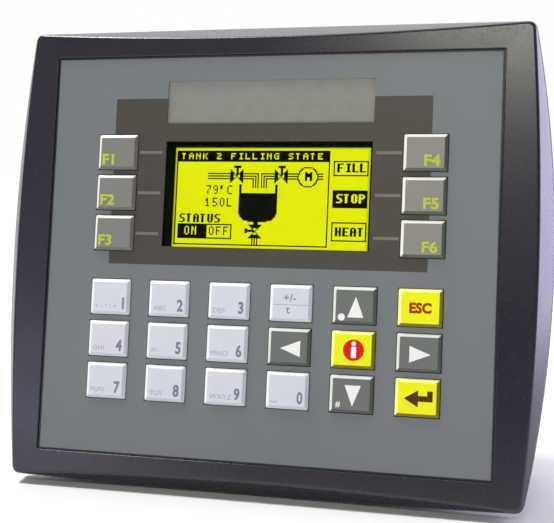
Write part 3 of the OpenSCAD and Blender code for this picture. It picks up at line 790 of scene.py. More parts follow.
class Shape:
    """A mesh being made, in millimetres in the part's frame."""

    def __init__(self) -> None:
        """Starts with nothing."""
        self.bm = bmesh.new()

    def loft(
        self, loops: Sequence[Loop], mark: int = 0, around: bool = False
    ) -> list[list[bmesh.types.BMFace]]:
        """Joins loops of equal length into a closed surface.

        Args:
            loops: The loops, in order.
            mark: The finish's number for its faces.
            around: Joins the last loop to the first instead of closing both with a face.

        Returns:
            The faces between each pair of loops.
        """
        rows = [[self.bm.verts.new(point) for point in loop] for loop in loops]
        pairs = list(zip(rows, rows[1:])) + ([(rows[-1], rows[0])] if around else [])
        bands = []
        for first, second in pairs:
            band = []
            for i in range(len(first)):
                j = (i + 1) % len(first)
                band.append(self.bm.faces.new((first[i], first[j], second[j], second[i])))
            bands.append(band)
        if not around:
            bands.append([self.bm.faces.new(rows[0]), self.bm.faces.new(rows[-1][::-1])])
        for band in bands:
            for face in band:
                face.material_index = mark
        return bands

    def prism(self, points: Sequence[Point2], front: float, rear: float, mark: int = 0) -> None:
        """Adds a solid with an outline in X and Z, between two depths."""
        self.loft([at_depth(points, front), at_depth(points, rear)], mark)

    def block(self, low: Sequence[float], high: Sequence[float], mark: int = 0) -> None:
        """Adds a solid between two corners."""
        (x0, y0, z0), (x1, y1, z1) = low, high
        self.prism([(x0, z0), (x1, z0), (x1, z1), (x0, z1)], y0, y1, mark)

    def turned(
        self, centre: Point2, line: Sequence[Point2], sides: int = 32, mark: int = 0
    ) -> None:
        """Adds a solid turned round an axis along Y.

        Args:
            centre: The axis's place in X and Z.
            line: Depths and radii from one end to the other.
            sides: How many sides it has.
            mark: The finish's number.
        """
        self.loft([at_depth(circle(centre, r, sides), y) for y, r in line], mark)

    def tube(self, centre: Point2, front: float, rear: float, outer: float, bore: float) -> None:
        """Adds a tube along Y.

        Args:
            centre: The axis's place in X and Z.
            front: The depth of its front end.
            rear: The depth of its rear end.
            outer: Its outer radius.
            bore: The radius of its hole.
        """
        line = ((front, bore), (front, outer), (rear, outer), (rear, bore))
        self.loft([at_depth(circle(centre, r, 24), y) for y, r in line], around=True)

    def carve(
        self,
        low: Sequence[float],
        high: Sequence[float],
        holes: Sequence[tuple[Sequence[float], Sequence[float]]],
        mark: int = 0,
    ) -> None:
        """Adds a block with square holes cut out of it, as one closed surface.

        Args:
            low: The block's lowest corner.
            high: Its highest corner.
            holes: The lowest and highest corners of each hole.
            mark: The finish's number.
        """
        cuts: list[list[float]] = []
        for axis in range(3):
            values = {low[axis], high[axis]}
            for hole in holes:
                values |= {min(max(end[axis], low[axis]), high[axis]) for end in hole}
            cuts.append(sorted(values))

        def solid(cell: tuple[int, int, int]) -> bool:
            """Says whether a cell between the cuts is kept.

            Args:
                cell: The numbers of the cuts that it starts from.

            Returns:
                Whether it is in the block and in no hole.
            """
            if any(not 0 <= cell[a] < len(cuts[a]) - 1 for a in range(3)):
                return False
            middle = [(cuts[a][cell[a]] + cuts[a][cell[a] + 1]) / 2 for a in range(3)]
            return not any(
                all(start[a] < middle[a] < end[a] for a in range(3)) for start, end in holes
            )

        corners: dict[tuple[int, int, int], bmesh.types.BMVert] = {}

        def corner(key: tuple[int, int, int]) -> bmesh.types.BMVert:
            """Returns the vertex where three cuts meet.

            Args:
                key: The numbers of the three cuts.

            Returns:
                The vertex, made once.
            """
            if key not in corners:
                corners[key] = self.bm.verts.new([cuts[a][key[a]] for a in range(3)])
            return corners[key]

        cells = [cell for cell in product(*(range(len(v) - 1) for v in cuts)) if solid(cell)]
        for cell, axis, side in product(cells, range(3), (0, 1)):
            beside = list(cell)
            beside[axis] += 2 * side - 1
            if solid(tuple(beside)):
                continue
            ring = []
            for u, v in ((0, 0), (1, 0), (1, 1), (0, 1)):
                key = list(cell)
                key[axis] += side
                key[(axis + 1) % 3] += u
                key[(axis + 2) % 3] += v
                ring.append(corner(tuple(key)))
            face = self.bm.faces.new(ring if side else ring[::-1])
            face.material_index = mark

    def absorb(self, mesh: bpy.types.Mesh, matrix: Matrix, mark: int = 0) -> None:
        """Adds another mesh's faces.

        Args:
            mesh: The other mesh.
            matrix: Where it goes.
            mark: The finish's number for its faces.
        """
        self.bm.verts.ensure_lookup_table()
        verts, faces = len(self.bm.verts), len(self.bm.faces)
        self.bm.from_mesh(mesh)
        self.bm.verts.ensure_lookup_table()
        self.bm.faces.ensure_lookup_table()
        for vert in self.bm.verts[verts:]:
            vert.co = matrix @ vert.co
        for face in self.bm.faces[faces:]:
            face.material_index = mark

    def merge(self, distance: float = 1e-4) -> None:
        """Joins points that lie on each other and turns the faces outwards."""
        bmesh.ops.remove_doubles(self.bm, verts=self.bm.verts, dist=distance)
        bmesh.ops.dissolve_degenerate(self.bm, edges=self.bm.edges, dist=distance)
        bmesh.ops.recalc_face_normals(self.bm, faces=self.bm.faces)

    def flatten(self) -> None:
        """Joins faces that lie in one plane."""
        bmesh.ops.dissolve_limit(
            self.bm, angle_limit=math.radians(1), verts=self.bm.verts, edges=self.bm.edges
        )

    def soften(self, width: float, steps: int = 2, sharper: float = 32) -> None:
        """Rounds the sharp edges.

        Args:
            width: How far the rounding reaches.
            steps: How many faces it has.
            sharper: The least angle of a sharp edge, in degrees.
        """
        limit = math.radians(sharper)
        edges = [
            e for e in self.bm.edges if len(e.link_faces) == 2 and e.calc_face_angle() > limit
        ]
        bmesh.ops.bevel(
            self.bm,
            geom=edges,
            offset=width,
            offset_type="OFFSET",
            segments=steps,
            profile=0.5,
            affect="EDGES",
            clamp_overlap=False,
        )

    def piece(
        self,
        name: str,
        finishes: Sequence[Finish],
        body: str,
        replaces: Sequence[str] = (),
        smooth: float = 30,
    ) -> bpy.types.Object:
        """Turns the mesh into a piece of the terminal.

        Args:
            name: The piece's name.
            finishes: Its finishes, in the order of their numbers.
            body: The body that it moves with.
            replaces: The nodes that it stands for.
            smooth: The largest angle that is shaded smooth, in degrees.

        Returns:
            The piece.
        """
        self.merge()
        bmesh.ops.scale(self.bm, vec=(MM, MM, MM), verts=self.bm.verts)
        mesh = bpy.data.meshes.new(name)
        self.bm.to_mesh(mesh)
        self.bm.free()
        mesh.shade_smooth()
        mesh.set_sharp_from_angle(angle=math.radians(smooth))
        weigh_normals(mesh, math.radians(smooth))
        for finish in finishes:
            mesh.materials.append(finish.material())
        obj = bpy.data.objects.new(name, mesh)
        bpy.context.scene.collection.objects.link(obj)
        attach(obj, body)
        if replaces:
            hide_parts(*replaces)
        LOG.info("%s: %d faces on %s", name, len(mesh.polygons), body)
        return obj


# Legends


@dataclass(frozen=True)
class Words:
    """A short printed text, which stands on a point of its key."""

    text: str
    ink: Ink
    at: Point2
    height: float
    squeeze: float = 1.0
    align: float = 0.0
    weight: float = 0.0

    def print_on(self, shape: Shape, centre: Point2, y: float, mark: int) -> None:
        """Prints the text.

        Args:
            shape: The key's mesh.
            centre: The middle of the key.
            y: The depth of the key's face.
            mark: The ink's number.
        """
        curve = bpy.data.curves.new("legend", "FONT")
        curve.body = self.text
        curve.resolution_u = 3
        curve.extrude = 0.5
        curve.offset = self.weight
        writing = bpy.data.objects.new("legend", curve)
        bpy.context.scene.collection.objects.link(writing)
        bpy.context.view_layer.update()
        mesh = bpy.data.meshes.new_from_object(writing)
        xs = [v.co.x for v in mesh.vertices]
        ys = [v.co.y for v in mesh.vertices]
        scale = self.height / (max(ys) - min(ys))
        across = scale * self.squeeze
        left = min(xs) + self.align * (max(xs) - min(xs))
        place = Matrix(
            (
                (across, 0, 0, centre[0] + self.at[0] - left * across),
                (0, 0, -INK_DEPTH, y),
                (0, scale, 0, centre[1] + self.at[1] - min(ys) * scale),
                (0, 0, 0, 1),
            )
        )
        shape.absorb(mesh, place, mark)
        bpy.data.objects.remove(writing)
        bpy.data.curves.remove(curve)
        bpy.data.meshes.remove(mesh)


@dataclass(frozen=True)
class Figure:
    """A printed shape with an outline of its own."""

    points: tuple[Point2, ...]
    ink: Ink
    lift: int = 0

    def print_on(self, shape: Shape, centre: Point2, y: float, mark: int) -> None:
        """Prints the shape.

        Args:
            shape: The key's mesh.
            centre: The middle of the key.
            y: The depth of the key's face.
            mark: The ink's number.
        """
        front = y - INK_DEPTH * (0.5 + self.lift)
        points = [(centre[0] + x, centre[1] + z) for x, z in self.points]
        shape.prism(points, front, y + INK_DEPTH / 2, mark)


Mark = Words | Figure


def spot(at: Point2, radius: float, ink: Ink, lift: int = 0) -> Figure:
    """Returns a round printed spot."""
    return Figure(tuple(circle(at, radius, 40)), ink, lift)


def bar(low: Point2, high: Point2, ink: Ink, lift: int = 0) -> Figure:
    """Returns a printed bar between two corners."""
    return Figure((low, (high[0], low[1]), high, (low[0], high[1])), ink, lift)


def digit(figure: str, letters: str) -> tuple[Mark, ...]:
    """Returns the legends of a number key.

    Args:
        figure: The number, at the lower right.
        letters: The small letters at the lower left.

    Returns:
        The legends.
    """
    return (
        Words(figure, Ink.FADED, (5.1, -4.15), 4.0, 0.78, align=1.0, weight=0.035),
        Words(letters, Ink.PALE, (-5.2, -3.95), 1.6, 1.1),
    )


def arrow(turn: float) -> Figure:
    """Returns a white triangle.

    Args:
        turn: How far it is turned anticlockwise from pointing up, in degrees.

    Returns:
        The triangle.
    """
    angle = math.radians(turn)
    turned = (Matrix.Rotation(angle, 2) @ Vector(p) for p in ((-2.6, -3.3), (2.6, -3.3), (0, 3.3)))
    return Figure(tuple((0.45 + p.x, -0.5 + p.y) for p in turned), Ink.WHITE)


def function_label(number: int) -> tuple[Mark, ...]:
    """Returns a function key's label, at the outer lower corner.

    Args:
        number: The key's number, left of the display up to 3.

    Returns:
        The legends.
    """
    left = number <= 3
    at = (-5.35, -4.35) if left else (4.75, -4.35)
    return (Words(f"F{number}", Ink.LIME, at, 3.7, 1.12, 0.0 if left else 1.0, 0.03),)


@dataclass(frozen=True)
class KeyPlan:
    """One key: its node, its tint and its legends."""

    node: str
    tint: Tint
    marks: tuple[Mark, ...]


ENTER_ARROW = Figure(
    (
        (-4.1, -0.2), (0.3, -2.8), (0.3, -1.05), (4.8, -1.05),
        (4.8, 2.25), (3.1, 2.25), (3.1, 0.7), (0.3, 0.7), (0.3, 2.4),
    ),
    Ink.BROWN,
)

SPACE_BARS = tuple(
    bar(low, high, Ink.PALE)
    for low, high in (
        ((-5.2, -3.9), (-3.2, -3.65)), ((-5.2, -3.65), (-4.95, -3.2)), ((-3.45, -3.65), (-3.2, -3.2))
    )
)
SIGN_MARKS = (
    Words("+/-", Ink.FADED, (-0.3, 0.45), 2.5, 1.05, 0.5, 0.01),
    bar((-5.7, -0.62), (5.6, -0.42), Ink.PALE),
    Words("t", Ink.FADED, (-0.8, -3.3), 2.1, 0.9, 0.5, 0.01),
)
INFO_MARKS = (
    spot((0.25, -0.1), 3.35, Ink.RED),
    bar((-0.5, -2.5), (1.1, 0.95), Ink.WHITE, 1),
    spot((0.3, 1.95), 0.72, Ink.WHITE, 1),
)
DIGIT_LETTERS = ("+ - * / =", "ABC", "DEF", "GHI", "JKL", "MNO", "PQRS", "TUV", "WXYZ")

KEY_PLANS: tuple[KeyPlan, ...] = (
    *(KeyPlan(f"key_f{n}", Tint.PALE, function_label(n)) for n in range(1, 4)),
    *(KeyPlan(f"key_f{n}", Tint.PALE_DARK, function_label(n)) for n in range(4, 7)),
    *(
        KeyPlan(f"key_{n}", Tint.WHITE, digit(str(n), letters))
        for n, letters in enumerate(DIGIT_LETTERS, 1)
    ),
    KeyPlan(
        "key_0",
        Tint.WHITE,
        (Words("0", Ink.FADED, (5.2, -4.15), 4.0, 0.74, align=1.0, weight=0.03), *SPACE_BARS),
    ),
    KeyPlan("key_sign", Tint.WHITE, SIGN_MARKS),
    KeyPlan("key_up", Tint.GREY, (arrow(0), spot((-4.05, -3.75), 1.15, Ink.WHITE))),
    KeyPlan("key_left", Tint.GREY, (arrow(90),)),
    KeyPlan(
        "key_down", Tint.GREY, (arrow(180), Words("#", Ink.WHITE, (-4.1, -4.3), 1.9, 1.0, 0.5, 0.02))
    ),
    KeyPlan("key_right", Tint.GREY, (arrow(-90),)),
    KeyPlan("key_info", Tint.YELLOW, INFO_MARKS),
    KeyPlan(
        "key_esc", Tint.YELLOW, (Words("ESC", Ink.CRIMSON, (0.1, -1.75), 3.4, 0.98, 0.5, 0.045),)
    ),
    KeyPlan("key_enter", Tint.YELLOW, (ENTER_ARROW,)),
)


# Sub-assemblies

# A node that keeps its shape, and its finish
Kept = tuple[str, Finish]
# A node that has its edges rounded: the piece's name, finish, body, slot and rounding
Rounded = tuple[str, str, Finish, str, str, float]


@dataclass
class Assembly:
    """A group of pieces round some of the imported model's nodes."""

    nodes: dict[str, bpy.types.Object]
    kept: tuple[Kept, ...] = ()
    rounded: tuple[Rounded, ...] = ()

    def build(self) -> None:
        """Dresses the kept nodes and builds the rounded ones."""
        for node, finish in self.kept:
            self.dress(node, finish)
        for row in self.rounded:
            self.softened(*row)

    def dress(self, node: str, finish: Finish) -> None:
        """Gives a node that keeps its shape its finish."""
        mesh = self.nodes[node].data
        mesh.materials.clear()
        mesh.materials.append(finish.material())
        LOG.info("%s: dressed in %s", node, finish.name)

    def softened(
        self, node: str, name: str, finish: Finish, body: str, slot: str, width: float
    ) -> None:
        """Replaces a node by a copy of it with rounded edges.

        Args:
            node: The node.
            name: The piece's name.
            finish: The piece's finish.
            body: The body that it moves with.
            slot: The record's material slot; not used.
            width: How far the rounding reaches.
        """
        shape = Shape()
        shape.absorb(self.nodes[node].data, Matrix.Scale(1 / MM, 4))
        shape.merge(1e-3)
        shape.flatten()
        shape.soften(width)
        shape.piece(name, [finish], body, [node])


@dataclass
class FrontBezel(Assembly):
    """The dark moulding: a bowed rim with slopes, the plate behind the overlay, the skirt."""

    widest: Point2 = (92.0, 77.5)
    corner: Point2 = (84.6, 75.65)
    face_middle: Point2 = (87.1, 72.5)
    slope_depth: float = 6.6
    least_slope: float = 0.6
    rim_rear: float = -0.8
    groove_floor: float = -2.0
    groove: tuple[Point2, Point2] = ((83.7, 72.7), (80.5, 69.5))
    skirt: tuple[Point2, Point2] = ((79.5, 68.5), (77.2, 66.2))
    plate_rear: float = -6.5
    per_side: int = 44
    corner_steps: int = 8
    key_gap: float = 0.25
    post_at: Point2 = (69.5, 58.5)
    post_rear: float = 8.0
    boss_x: float = 66.0
    boss_z: float = 46.0
    boss_rear: float = -3.65
    low_boss_z: float = -58.0
    post_radii: Point2 = (4.4, 1.5)
    boss_radii: Point2 = (2.5, 1.0)
    plate_half: Point2 = (76.4, 67.6)
    overlay_gap: float = 0.15
    slack: float = 0.1
    view_lap: float = 1.4

    def _bowed(self, middle: Point2, corner: Point2, radius: float) -> list[Point2]:
        """Returns a loop whose four sides are shallow arcs, with rounded corners.

        Args:
            middle: Half the width and half the height at the middle of the sides.
            corner: The upper right corner before rounding.
            radius: How far the rounding reaches from the corner.

        Returns:
            The loop, anticlockwise from the lower end of the right-hand side.
        """

        def bow(place: float, half: float, crown: float, end: float) -> float:
            """Returns how far out an arc is at a place along its side.

            Args:
                place: The place, from the side's middle.
                half: Half the side's length.
                crown: How far out the arc's middle is.
                end: How far out its ends are.

            Returns:
                How far out it is there.
            """
            rise = crown - end
            if abs(rise) < 1e-6:
                return crown
            big = (half * half + rise * rise) / (2 * abs(rise))
            sag = big - math.sqrt(big * big - place * place)
            return crown - math.copysign(sag, rise)

        reach_z, reach_x = corner[1] - radius, corner[0] - radius
        steps = [2 * i / self.per_side - 1 for i in range(self.per_side + 1)]
        right = [(bow(s * reach_z, corner[1], middle[0], corner[0]), s * reach_z) for s in steps]
        top = [(-s * reach_x, bow(s * reach_x, corner[0], middle[1], corner[1])) for s in steps]
        sides = [right, top, *([(-x, -z) for x, z in side] for side in (right, top))]
        loop: list[Point2] = []
        for i, side in enumerate(sides):
            sx, sz = QUARTERS[i]
            tip = Vector((sx * corner[0], sz * corner[1]))
            start, end = Vector(side[-1]), Vector(sides[(i + 1) % 4][0])
            curve = rounding(start, tip, end, self.corner_steps)
            loop += side + [(point.x, point.y) for point in curve[1:-1]]
        return loop

    def _rim(self, shape: Shape) -> None:
        """Adds the rim, the gasket's groove and the skirt as one closed ring.

        Args:
            shape: The bezel's mesh.
        """
        low, high = box_of("front_bezel")
        front, rear = low.y, high.y
        lip_half = tuple(half + self.overlay_gap for half in box_of("front_overlay")[1].xz)
        lip, groove_out, groove_in, skirt_out, skirt_in = (
            self._bowed(half, half, radius)
            for half, radius in zip((lip_half, *self.groove, *self.skirt), (0.4, 0.1, 0.1, 3.0, 2.0))
        )
        edge_corner = tuple(half - self.least_slope for half in self.corner)
        face = self._bowed(self.face_middle, edge_corner, 2.2)
        outline = self._bowed(self.widest, self.corner, 2.6)
        rate = (self.widest[0] - self.face_middle[0]) / self.slope_depth
        sections: list[list[Vector]] = []
        for i, (edge, out) in enumerate(zip(face, outline)):
            slope = front + (Vector(out) - Vector(edge)).length / rate
            corners = (
                (lip[i], self.plate_rear, 0),
                (lip[i], front, 0.35),
                (edge, front, 0.8),
                (out, slope, 1.1),
                (out, self.rim_rear, 0.5),
                (groove_out[i], self.rim_rear, 0),
                (groove_out[i], self.groove_floor, 0),
                (groove_in[i], self.groove_floor, 0),
                (groove_in[i], self.rim_rear, 0),
                (skirt_out[i], self.rim_rear, 0.2),
                (skirt_out[i], rear, 0.3),
                (skirt_in[i], rear, 0),
                (skirt_in[i], self.plate_rear, 0),
            )
            line = [Vector((x, y, z)) for (x, z), y, _ in corners]
            sections.append(filleted(line, [reach for *_, reach in corners]))
        shape.loft(list(zip(*sections)), around=True)

    def _plate(self, shape: Shape) -> None:
        """Adds the plate behind the overlay, with the keys' and the display's openings.

        Args:
            shape: The bezel's mesh.
        """
        front = box_of("front_overlay")[1].y
        ahead, behind = front - 1, self.plate_rear + 1

        def opening(node: str, grow: float, rear: float = behind) -> tuple[Point3, Point3]:
            """Returns the corners of an opening round a node.

            Args:
                node: The node that goes in it.
                grow: How much larger it is on each side.
                rear: How deep it goes.

            Returns:
                Its lowest and highest corners.
            """
            low, high = box_of(node)
            return (low.x - grow, ahead, low.z - grow), (high.x + grow, rear, high.z + grow)

        holes = [
            opening("display_window", -self.view_lap),
            opening("display_window", self.slack, box_of("display_window")[1].y),
            opening("label_slide", self.slack, box_of("label_slide")[1].y),
            *(opening(plan.node, self.key_gap - KEY_FLANGE) for plan in KEY_PLANS),
        ]
        half_x, half_z = self.plate_half
        shape.carve((-half_x, front, -half_z), (half_x, self.plate_rear, half_z), holes)

    def build(self) -> None:
        """Builds the bezel as one piece."""
        shape = Shape()
        self._rim(shape)
        self._plate(shape)
        start = self.plate_rear - 0.5
        posts = [(sx * self.post_at[0], sz * self.post_at[1]) for sx, sz in QUARTERS]
        bosses = [(sx * self.boss_x, sz * self.boss_z) for sx in (-1, 1) for sz in (-1, 0, 1)]
        for at in posts:
            shape.tube(at, start, self.post_rear, *self.post_radii)
        for at in (*bosses, (0, self.low_boss_z)):
            shape.tube(at, start, self.boss_rear, *self.boss_radii)
        shape.merge()
        shape.piece("bezel", [SLATE], "terminal", ["front_bezel"], smooth=38)


@dataclass
class Facing(Assembly):
    """What lies in the bezel's face: the printed overlay, the label and the clear window."""

    field_low: Point2 = (-53.4, -3.5)
    field_high: Point2 = (53.6, 52.4)
    line_height: float = 0.95
    border_width: float = 0.6
    kept: tuple[Kept, ...] = (
        ("label_slide", CARD), ("display_window", PANE), ("panel_gasket", FOAM)
    )

    def build(self) -> None:
        """Prints the overlay, with a line from each function key to the display, and paints the
        lip's shadow round its edge.
        """
        super().build()
        reach = -box_of("display_window")[0].x - self.border_width
        half = box_of("front_overlay")[1]
        lines = []
        for number in range(1, 7):
            low, high = box_of(f"key_f{number}")
            middle = (low.z + high.z) / 2
            bottom, top = middle - self.line_height / 2, middle + self.line_height / 2
            start, end = (high.x, -reach) if high.x < 0 else (reach, low.x)
            lines.append(((start, bottom), (end, top)))
        film = PrintedFilm(
            "overlay_print",
            paint(117, 124, 126),
            paint(69, 61, 52),
            paint(124, 113, 107),
            # The painted shadow round the film's edge, under the bezel's lip.
            paint(16, 18, 26),
            (half.x - self.border_width, half.z - self.border_width),
            self.field_low,
            self.field_high,
            tuple(lines),
        )
        self.dress("front_overlay", film)


DOT_LETTERS = {
    "A": ".##./#..#/####/#..#/#..#",
    "C": ".###/#.../#.../#.../.###",
    "E": "####/#.../###./#.../####",
    "F": "####/#.../###./#.../#...",
    "G": ".###/#.../#.##/#..#/.###",
    "H": "#..#/#..#/####/#..#/#..#",
    "I": ".###/..#./..#./..#./.###",
    "K": "#..#/#.#./##../#.#./#..#",
    "L": "#.../#.../#.../#.../####",
    "M": "#...#/##.##/#.#.#/#...#/#...#",
    "N": "#..#/##.#/#.##/#..#/#..#",
    "O": ".##./#..#/#..#/#..#/.##.",
    "P": "###./#..#/###./#.../#...",
    "S": ".###/#.../.##./...#/###.",
    "T": "###/.#./.#./.#./.#.",
    "U": "#..#/#..#/#..#/#..#/.##.",
    "0": ".##./#..#/#..#/#..#/.##.",
    "1": ".#./##./.#./.#./###",
    "2": "###./...#/.##./#.../####",
    "5": "####/#.../###./...#/###.",
    "7": "####/...#/..#./.#../.#..",
    "9": ".##./#..#/.###/...#/.##.",
    "*": "##./##./.../.../...",
}


@dataclass
class Picture:
    """A picture of dark and light dots: a tank with its pipes, and three soft keys."""

    columns: int = 160
    rows: int = 80
    dots: list[list[bool]] = field(default_factory=list)

    def __post_init__(self) -> None:
        """Starts with every dot light."""
        self.dots = [[False] * self.columns for _ in range(self.rows)]

    def set(self, x: int, y: int, dark: bool = True) -> None:
        """Sets one dot, if it is in the picture."""
        if 0 <= x < self.columns and 0 <= y < self.rows:
            self.dots[y][x] = dark

    def fill(self, x0: int, y0: int, x1: int, y1: int, dark: bool = True) -> None:
        """Fills a rectangle, both corners included."""
        for y in range(y0, y1 + 1):
            for x in range(x0, x1 + 1):
                self.set(x, y, dark)

    def frame(self, x0: int, y0: int, x1: int, y1: int) -> None:
        """Draws the outline of a rectangle."""
        self.fill(x0, y0, x1, y1)
        self.fill(x0 + 1, y0 + 1, x1 - 1, y1 - 1, False)

    def write(
        self, x: int, y: int, text: str, dark: bool = True, tall: bool = True, bold: bool = False
    ) -> None:
        """Writes text.

        Args:
            x: The first column.
            y: The top row.
            text: The text.
            dark: Whether its dots are dark.
            tall: Draws the second and fourth rows twice.
            bold: Draws each dot twice, side by side.
        """
        for letter in text:
            rows = DOT_LETTERS.get(letter, "").split("/")
            if tall and len(rows) == 5:
                rows = [rows[i] for i in (0, 1, 1, 2, 3, 3, 4)]
            for dy, row in enumerate(rows):
                for dx, dot in enumerate(row):
                    if dot == "#":
                        self.fill(x + dx, y + dy, x + dx + bold, y + dy, dark)
            x += 6

    def valve(self, x: int, y: int, upright: bool = False) -> None:
        """Draws a valve.

        Args:
            x: The column of its middle.
            y: The row of its middle.
            upright: Turns its pipes up and down, and its handle from above to the left.
        """
        for along in range(-5, 6):
            for across in range(-abs(along), abs(along) + 1):
                edge = abs(across) == abs(along) or abs(along) == 5
                dx, dy = (across, along) if upright else (along, across)
                self.set(x + dx, y + dy, edge or abs(along) > 2)
        if upright:
            self.fill(x - 6, y - 1, x - 1, y)
            self.fill(x - 8, y - 2, x - 7, y + 1)
        else:
            self.fill(x, y - 6, x + 1, y - 1)
            self.fill(x - 2, y - 8, x + 3, y - 7)

    def draw(self) -> None:
        """Draws the whole picture."""
        self.frame(0, 2, 127, 77)
        self.fill(0, 2, 127, 10)
        self.write(4, 4, "TANK 2 FILLING STATE", dark=False, tall=False)
        for step in (0, 2, 4):
            for x0, x1 in ((27, 46), (57, 64), (76, 83), (93, 101), (118, 122)):
                self.fill(x0, 20 + step, x1, 20 + step)
            self.fill(64, 20 + step, 69 - step, 20 + step)
            self.fill(69 - step, 20 + step, 69 - step, 31)
            self.fill(72 + step, 20 + step, 76, 20 + step)
            self.fill(72 + step, 20 + step, 72 + step, 31)
        self.valve(51, 22)
        self.valve(88, 22)
        for y in range(12, 34):
            for x in range(99, 121):
                gap = math.hypot(x - 110, y - 22.5)
                if gap < 8.4:
                    self.set(x, y, gap > 7.2)
        self.write(108, 19, "M", bold=True)
        self.fill(54, 29, 55, 35)
        self.fill(84, 29, 85, 35)
        for y in range(36, 59):
            inset = round(8 - math.sqrt(64 - max(0, y - 50) ** 2))
            self.fill(54 + inset, y, 85 - inset, y)
        self.fill(67, 59, 70, 61)
        self.valve(68, 66, True)
        for x in (66, 68, 70):
            self.fill(x, 72, x, 76)
        self.write(26, 30, "79*C")
        self.write(26, 40, "150L")
        self.write(4, 53, "STATUS", bold=True)
        for box, at, text, pressed, bold in (
            ((3, 61, 26, 72), (9, 63), "ON", True, False),
            ((27, 61, 48, 72), (30, 63), "OFF", False, False),
            ((131, 10, 158, 21), (134, 12), "FILL", False, True),
            ((131, 33, 158, 46), (134, 36), "STOP", True, True),
            ((131, 58, 158, 72), (134, 62), "HEAT", False, True),
        ):
            (self.fill if pressed else self.frame)(*box)
            self.write(*at, text, dark=not pressed, bold=bold)

    def patches(self) -> list[tuple[int, int, int, int]]:
        """Returns rectangles that cover the dark dots once each.

        Returns:
            The first column, first row, last column and last row of each.
        """
        left = [row[:] for row in self.dots]
        found = []
        for y in range(self.rows):
            x = 0
            while x < self.columns:
                if not left[y][x]:
                    x += 1
                    continue
                end = x
                while end + 1 < self.columns and left[y][end + 1]:
                    end += 1
                low = y
                while low + 1 < self.rows and all(left[low + 1][x : end + 1]):
                    low += 1
                for row in left[y : low + 1]:
                    row[x : end + 1] = [False] * (end + 1 - x)
                found.append((x, y, end, low))
                x = end + 1
        return found


@dataclass
class Display(Assembly):
    """The display: its lit glass, the picture on it, its surround and what backs it."""

    lit_low: Point2 = (-32.4, 1.6)
    lit_high: Point2 = (33.9, 36.3)
    first_dot: Point2 = (-31.8, 36.15)
    pitch: Point2 = (0.4095, 0.4156)
    surround_inset: float = 0.5
    surround_height: float = 0.08
    dot_height: float = 0.05
    print_gap: float = 0.005
    kept: tuple[Kept, ...] = (
        ("display_frame", ZINC), ("display_backlight", DIFFUSER), ("display_board", GREEN_BOARD)
    )

    def build(self) -> None:
        """Builds the display's pieces."""
        super().build()
        low, high = box_of("display_glass")
        inset, rear = self.surround_inset, low.y - self.print_gap
        glow = LitScreen(
            "lit_screen", paint(232, 241, 4), paint(128, 140, 10), self.lit_low, self.lit_high
        )
        self.dress("display_glass", glow)
        surround = Shape()
        hole = tuple(
            (x, y, z) for (x, z), y in ((self.lit_low, low.y - 1), (self.lit_high, low.y + 1))
        )
        surround.carve(
            (low.x + inset, low.y - self.surround_height, low.z + inset),
            (high.x - inset, rear, high.z - inset),
            [hole],
        )
        surround.piece("screen_surround", [SCREEN_EDGE], "terminal")
        picture = Picture()
        picture.draw()
        dots = Shape()
        for x0, y0, x1, y1 in picture.patches():
            left, right = (self.first_dot[0] + x * self.pitch[0] for x in (x0, x1 + 1))
            top, bottom = (self.first_dot[1] - y * self.pitch[1] for y in (y0, y1 + 1))
            dots.block((left, low.y - self.dot_height, bottom), (right, rear, top))
        dots.piece("screen_picture", [DOTS], "terminal")


@dataclass
class KeyCap(Assembly):
    """One key: a bevelled cap with a flange, a stem and its printed legends."""

    plan: KeyPlan = KEY_PLANS[0]
    bevel: float = 1.1
    bevel_depth: float = 0.72
    flange_depth: float = 0.8
    stem_radius: float = 1.6

    def build(self) -> None:
        """Builds the key as one piece."""
        low, high = box_of(self.plan.node)
        centre = middle_of(self.plan.node)
        width = high.x - low.x - 2 * KEY_FLANGE
        height = high.z - low.z - 2 * KEY_FLANGE
        top = low.y
        flange_y = FrontBezel.plate_rear + 0.1
        stem_y = flange_y + self.flange_depth

        def ring(inset: float, y: float, radius: float) -> list[Point3]:
            """Returns the key's outline drawn in by an inset, at one depth."""
            size = (width - 2 * inset, height - 2 * inset)
            return at_depth(round_rect(centre, size, radius), y)

        def foot(y: float) -> list[Point3]:
            """Returns the stem's outline, point for point with the key's outline.

            Args:
                y: Its depth.

            Returns:
                The loop.
            """
            aways = (Vector((x - centre[0], z - centre[1])) for x, _, z in ring(0, y, 0.5))
            spokes = (away.normalized() * self.stem_radius for away in aways)
            return [(centre[0] + spoke.x, y, centre[1] + spoke.y) for spoke in spokes]

        bevel, deep = self.bevel, top + self.bevel_depth
        rings = (
            (bevel + 0.16, top, 0.25),
            (bevel + 0.02, top + 0.015, 0.3),
            (bevel - 0.12, top + 0.1, 0.35),
            (0.16, deep - 0.1, 0.5),
            (0.04, deep + 0.02, 0.5),
            (0, deep + 0.15, 0.5),
            (0, flange_y, 0.5),
            (-KEY_FLANGE, flange_y, 0.5),
            (-KEY_FLANGE, stem_y, 0.5),
        )
        shape = Shape()
        bands = shape.loft([*(ring(*row) for row in rings), foot(stem_y), foot(high.y)])
        # The bevels facing up or left take the painted highlight, and those facing down or right
        # take the painted shade.
        for face in (face for band in bands[2:6] for face in band):
            middle = face.calc_center_median()
            across, up = middle.x - centre[0], middle.z - centre[1]
            upright = abs(across) - width / 2 > abs(up) - height / 2
            face.material_index = 1 if (across if upright else -up) < 0 else 2
        inks = list(dict.fromkeys(mark.ink for mark in self.plan.marks))
        for mark in self.plan.marks:
            mark.print_on(shape, centre, top, 3 + inks.index(mark.ink))
        tint = self.plan.tint.value
        finishes = [tint.face, tint.lit, tint.shade, *(ink.value for ink in inks)]
        name = self.plan.node.replace("key_", "keycap_")
        shape.piece(name, finishes, self.plan.node, [self.plan.node], smooth=20)


